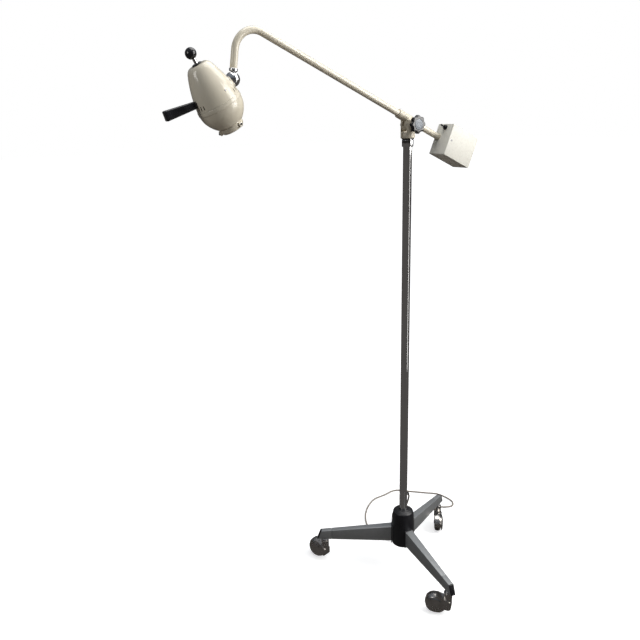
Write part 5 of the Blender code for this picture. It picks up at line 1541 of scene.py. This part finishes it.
    def _upper(self, shop: Workshop) -> None:
        """Make the upper shell with three groups of three vent slots."""
        slots = [self.vent_turn + 120.0 * group + self.vent_step * k for group in range(3) for k in (-1, 0,
                                                                                                     1)]
        half = self.vent_half
        top, bottom = self.vent_span
        angles = sorted({round((s + d) % 360.0, 3) for s in slots for d in (-half, half)}
                        | {round(a, 3) for a in (2.5 * k for k in range(144))
                           if all(abs((a - s + 180.0) % 360.0 - 180.0) > half + 0.6 for s in slots)})
        depths = [0.0, 0.5, 1.2, 2.4, 3.8, 5.0, 7.0, 9.5, 12.0] + [12.0 + 5.0 * k for k in range(1, 15)]
        depths = sorted(set(depths) | {85.0, top, top + 0.7, bottom - 0.7, bottom, 101.5, 103.6, 104.2,
                                       self.seam})
        holes = set()
        for row, (a, b) in enumerate(zip(depths, depths[1:])):
            for k, angle in enumerate(angles):
                middle = angle + ((angles[(k + 1) % len(angles)] - angle) % 360.0) / 2.0
                cut = any(abs((middle - s + 180.0) % 360.0 - 180.0) < half for s in slots)
                if cut and top <= a and b <= bottom:
                    holes.add((row, k))
        bm = self._shell_grid(depths, angles, holes)
        shell = as_object("head_upper_shell", bm, self.axis)
        self._thicken(shell)
        shop.place(shell, "cream_enamel", "head", ("head_upper",), 40.0)
        lid = rounded(mm([(5.4, -2, 0), (20, -2, 0), (22.8, -0.8, 0.3), (22.5, 0.05, 0.5),
            (5.4, 0.05, 0)]))
        shop.turned_piece("head_crown", lid, "cream_enamel", "head", self.axis, (), 96)
        # A dark sheet just inside the vent slots stands in for the shade inside the head: painted shade,
        # not a part of the lamp.
        lining = [(self._radius(d) - self.liner_gap, -d * MM) for d in self.liner_depths]
        lining += [(r - self.liner_wall, z) for r, z in lining[::-1]]
        shop.turned_piece("vent_shade_backing", lining, "vent_shade_dark", "head", self.axis, (), 72)
        depth = self.fitting_depth
        across = moved(self._radius(depth), 0.0, 0.0) @ turned("Y", 76.0)
        place = self.axis @ turned("Z", -80.0, (0.0, 0.0, -depth * MM)) @ across
        head = rounded(mm([(0, -0.8, 0), (2.6, -0.8, 0), (2.6, 0.3, 0.3), (1.6, 1, 0.5), (0, 1.1, 0)]))
        shop.turned_piece("shell_screw", head, "turned_steel", "head", place, (), 28)

    def _thicken(self, shell: Object) -> None:
        """Give an open skin its wall, inwards."""
        wall = shell.modifiers.new("wall", "SOLIDIFY")
        wall.thickness = self.wall
        wall.offset = -1.0
        wall.use_even_offset = False
        settle(shell)

    def _lower(self, shop: Workshop) -> None:
        """Make the lower shell with the raised band below the seam."""
        depths = [self.seam + 0.35, 104.95, 105.2, 106.0, 108.0, 111.0, 114.0, 115.2, 115.6, 115.9, 116.4,
                  118.0, 121.0]
        depths += [121.0 + 3.0 * k for k in range(1, 17)]
        band = (0.2, 0.55, 0.8, 0.9, 0.9, 0.9, 0.9, 0.75, 0.35, 0.05)
        proud = {row: height * MM for row, height in enumerate(band)}
        shell = as_object("head_lower_shell", self._shell_grid(depths, [2.5 * k for k in range(144)], set(),
                                                               proud),
                          self.axis)
        self._thicken(shell)
        shop.place(shell, "cream_enamel", "head", ("head_lower",), 40.0)

    def _exit(self, shop: Workshop) -> None:
        """Make the light-exit ring with its three lugs and screws."""
        ring = rounded(mm([(33.3, -164.5, 0), (34.8, -164.5, 0), (34.8, -171, 0.4), (35.4, -172, 1),
            (34.4, -180, 4), (31, -185.6, 2.5), (29.2, -187.4, 1), (27, -187.4, 0.5),
            (27.2, -184.5, 0.5), (31, -180, 0.5), (31, -174, 0.3), (33.3, -172, 0)]))
        shop.turned_piece("exit_bezel", ring, "cream_enamel", "head", self.axis, ("light_exit_ring",), 112)
        lug = as_object("exit_lugs", block((32.6 * MM, -6.5 * MM, -185.0 * MM),
                                           (39.0 * MM, 6.5 * MM, -172.5 * MM), 2.2 * MM, 4))
        shop.repeats.run(lug, shop.repeats.ring, {"Count": 3, "First Turn": self.lug_turn,
                                                  "Material": shop.materials["cream_enamel"]}, self.axis)
        shop.place(lug, "cream_enamel", "head", (), 40.0)
        outward = moved(0.0, 0.0, -178.7 * MM) @ turned("Y", 90.0)
        head = rounded(mm([(0, 38.6, 0), (3.1, 38.6, 0), (3.1, 40.4, 0.5), (2.4, 41.8, 0.6),
            (1.2, 41.8, 0.2), (1.2, 40.4, 0), (0, 40.4, 0)]))
        screw = as_object("exit_screws", lathe(head, 28), outward)
        shop.repeats.run(screw, shop.repeats.ring, {"Count": 3, "First Turn": self.lug_turn,
                                                    "Material": shop.materials["black_plastic"]}, self.axis)
        shop.place(screw, "black_plastic", "head", ("exit_screw_0", "exit_screw_1", "exit_screw_2"))

    def _optics(self, shop: Workshop) -> None:
        """Make the lens, reflector, lamp holder and bulb."""
        lens = rounded(mm([(0, -181, 0), (28, -180, 20), (30.6, -178.8, 0.5), (30.6, -175, 0.5),
            (20, -170.6, 15), (0, -168.4, 0)]), 10)
        shop.turned_piece("front_lens_disc", lens, "lens_glass", "head", self.axis, ("front_lens",), 96)
        bowl = [((12.0 + 46.0 * (k / 24) ** 0.8) * MM,
                 -(46.0 + 62.0 * (k / 24) ** 1.7) * MM) for k in range(25)]
        dish = bowl + [(r - 1.4 * MM, z - 0.4 * MM) for r, z in bowl[::-1]]
        shop.turned_piece("reflector_dish", dish, "silvered", "head", self.axis, ("reflector",), 96)
        holder = rounded(mm([(0, -62, 0), (8.6, -62, 0.5), (9.4, -60.5, 0.5), (9.4, -37, 0.8),
            (7.6, -34.3, 0.5), (0, -34.3, 0)]))
        shop.turned_piece("bulb_holder", holder, "ceramic", "focus", self.axis, ("lamp_holder",), 48)
        bulb = rounded(mm([(0, -62.2, 0), (6, -62.2, 0.3), (6.8, -67, 3), (12.4, -77, 8),
            (11.6, -87, 8), (5, -93, 4), (0, -93, 0)]), 8)
        shop.turned_piece("bulb_envelope", bulb, "lens_glass", "focus", self.axis, ("bulb",), 56)

    def _focus(self, shop: Workshop) -> None:
        """Make the top plate, the sliding stem and the ball knob."""
        plate = rounded(mm([(5.2, 0.1, 0), (13.5, 0.1, 0.4), (13.5, 2.6, 0.8), (11, 3.8, 1.5),
            (5.2, 3.8, 0.4)]))
        shop.turned_piece("crown_plate", plate, "black_plastic", "head", self.axis, ("focus_plate",), 72)
        stem = rounded(mm([(0, -34, 0), (4.7, -34, 0.5), (4.7, 19.2, 0.2), (0, 19.2, 0)]))
        shop.turned_piece("focus_rod", stem, "chrome", "focus", self.axis, ("focus_stem",), 48)
        ball = [(0.0, 17.6 * MM), (6.2 * MM, 17.6 * MM), (6.6 * MM, 18.2 * MM)]
        ball += [(15.0 * MM * math.cos(a), (31.0 + 15.0 * math.sin(a)) * MM)
                 for a in (math.radians(-62.0 + 150.0 * k / 36) for k in range(37))]
        ball.append((0.0, 46.0 * MM))
        shop.turned_piece("focus_ball", ball, "black_knob", "focus", self.axis, ("focus_knob",), 72)

    def _handle(self, shop: Workshop) -> None:
        """Make the moulded handle, wider at its outer end."""
        depth = self.fitting_depth
        frame = self.axis @ moved(-self._radius(depth), 0.0, -depth * MM) @ turned("Y", -78.0)
        marks = ((0.9, 8.3, 9.5), (6.0, 8.4, 9.6), (85.0, 9.4, 13.1), (93.0, 9.5, 13.4))
        signs = ((-1, -1), (1, -1), (1, 1), (-1, 1))
        loops = [[(sx * half_x * MM, sy * half_y * MM, z * MM) for sx, sy in signs]
                 for z, half_y, half_x in marks]
        grip = as_object("head_handle", hull_bar(loops), frame)
        shop.place(ease_edges(grip, 3.2 * MM, 5, 40.0), "black_knob", "head", ("handle",), 45.0)


# ---------------------------------------------------------------- what stays from the frame
def dress_frame(shop: Workshop) -> None:
    """Give each node of the frame that still shows its finish."""
    by_slot = {finish.slot: name for name, finish in reversed(list(shop.finishes.items()))}
    slots = {part["node"]: part["material_slot"] for part in shop.frame["record"]["subparts"]}
    for name, node in shop.frame["nodes"].items():
        made = shop.materials[by_slot[slots[name]]]
        node.data.materials.clear()
        node.data.materials.append(made)
        log.info("%s keeps its shape and takes %s", name, made.name)


def main() -> None:
    """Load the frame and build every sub-assembly."""
    logging.basicConfig(level=logging.INFO, format="%(message)s")
    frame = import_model()
    shop = Workshop(frame)
    Studio().build()
    MainsLead().build(shop)
    dress_frame(shop)
    Stand().build(shop)
    Castors().build(shop)
    Clamp().build(shop)
    boom = Boom()
    boom.build(shop)
    TransformerBox().build(shop, boom)
    LampHead().build(shop)
    log.info("%d pieces placed", shop.count)


if __name__ == "__main__":
    main()
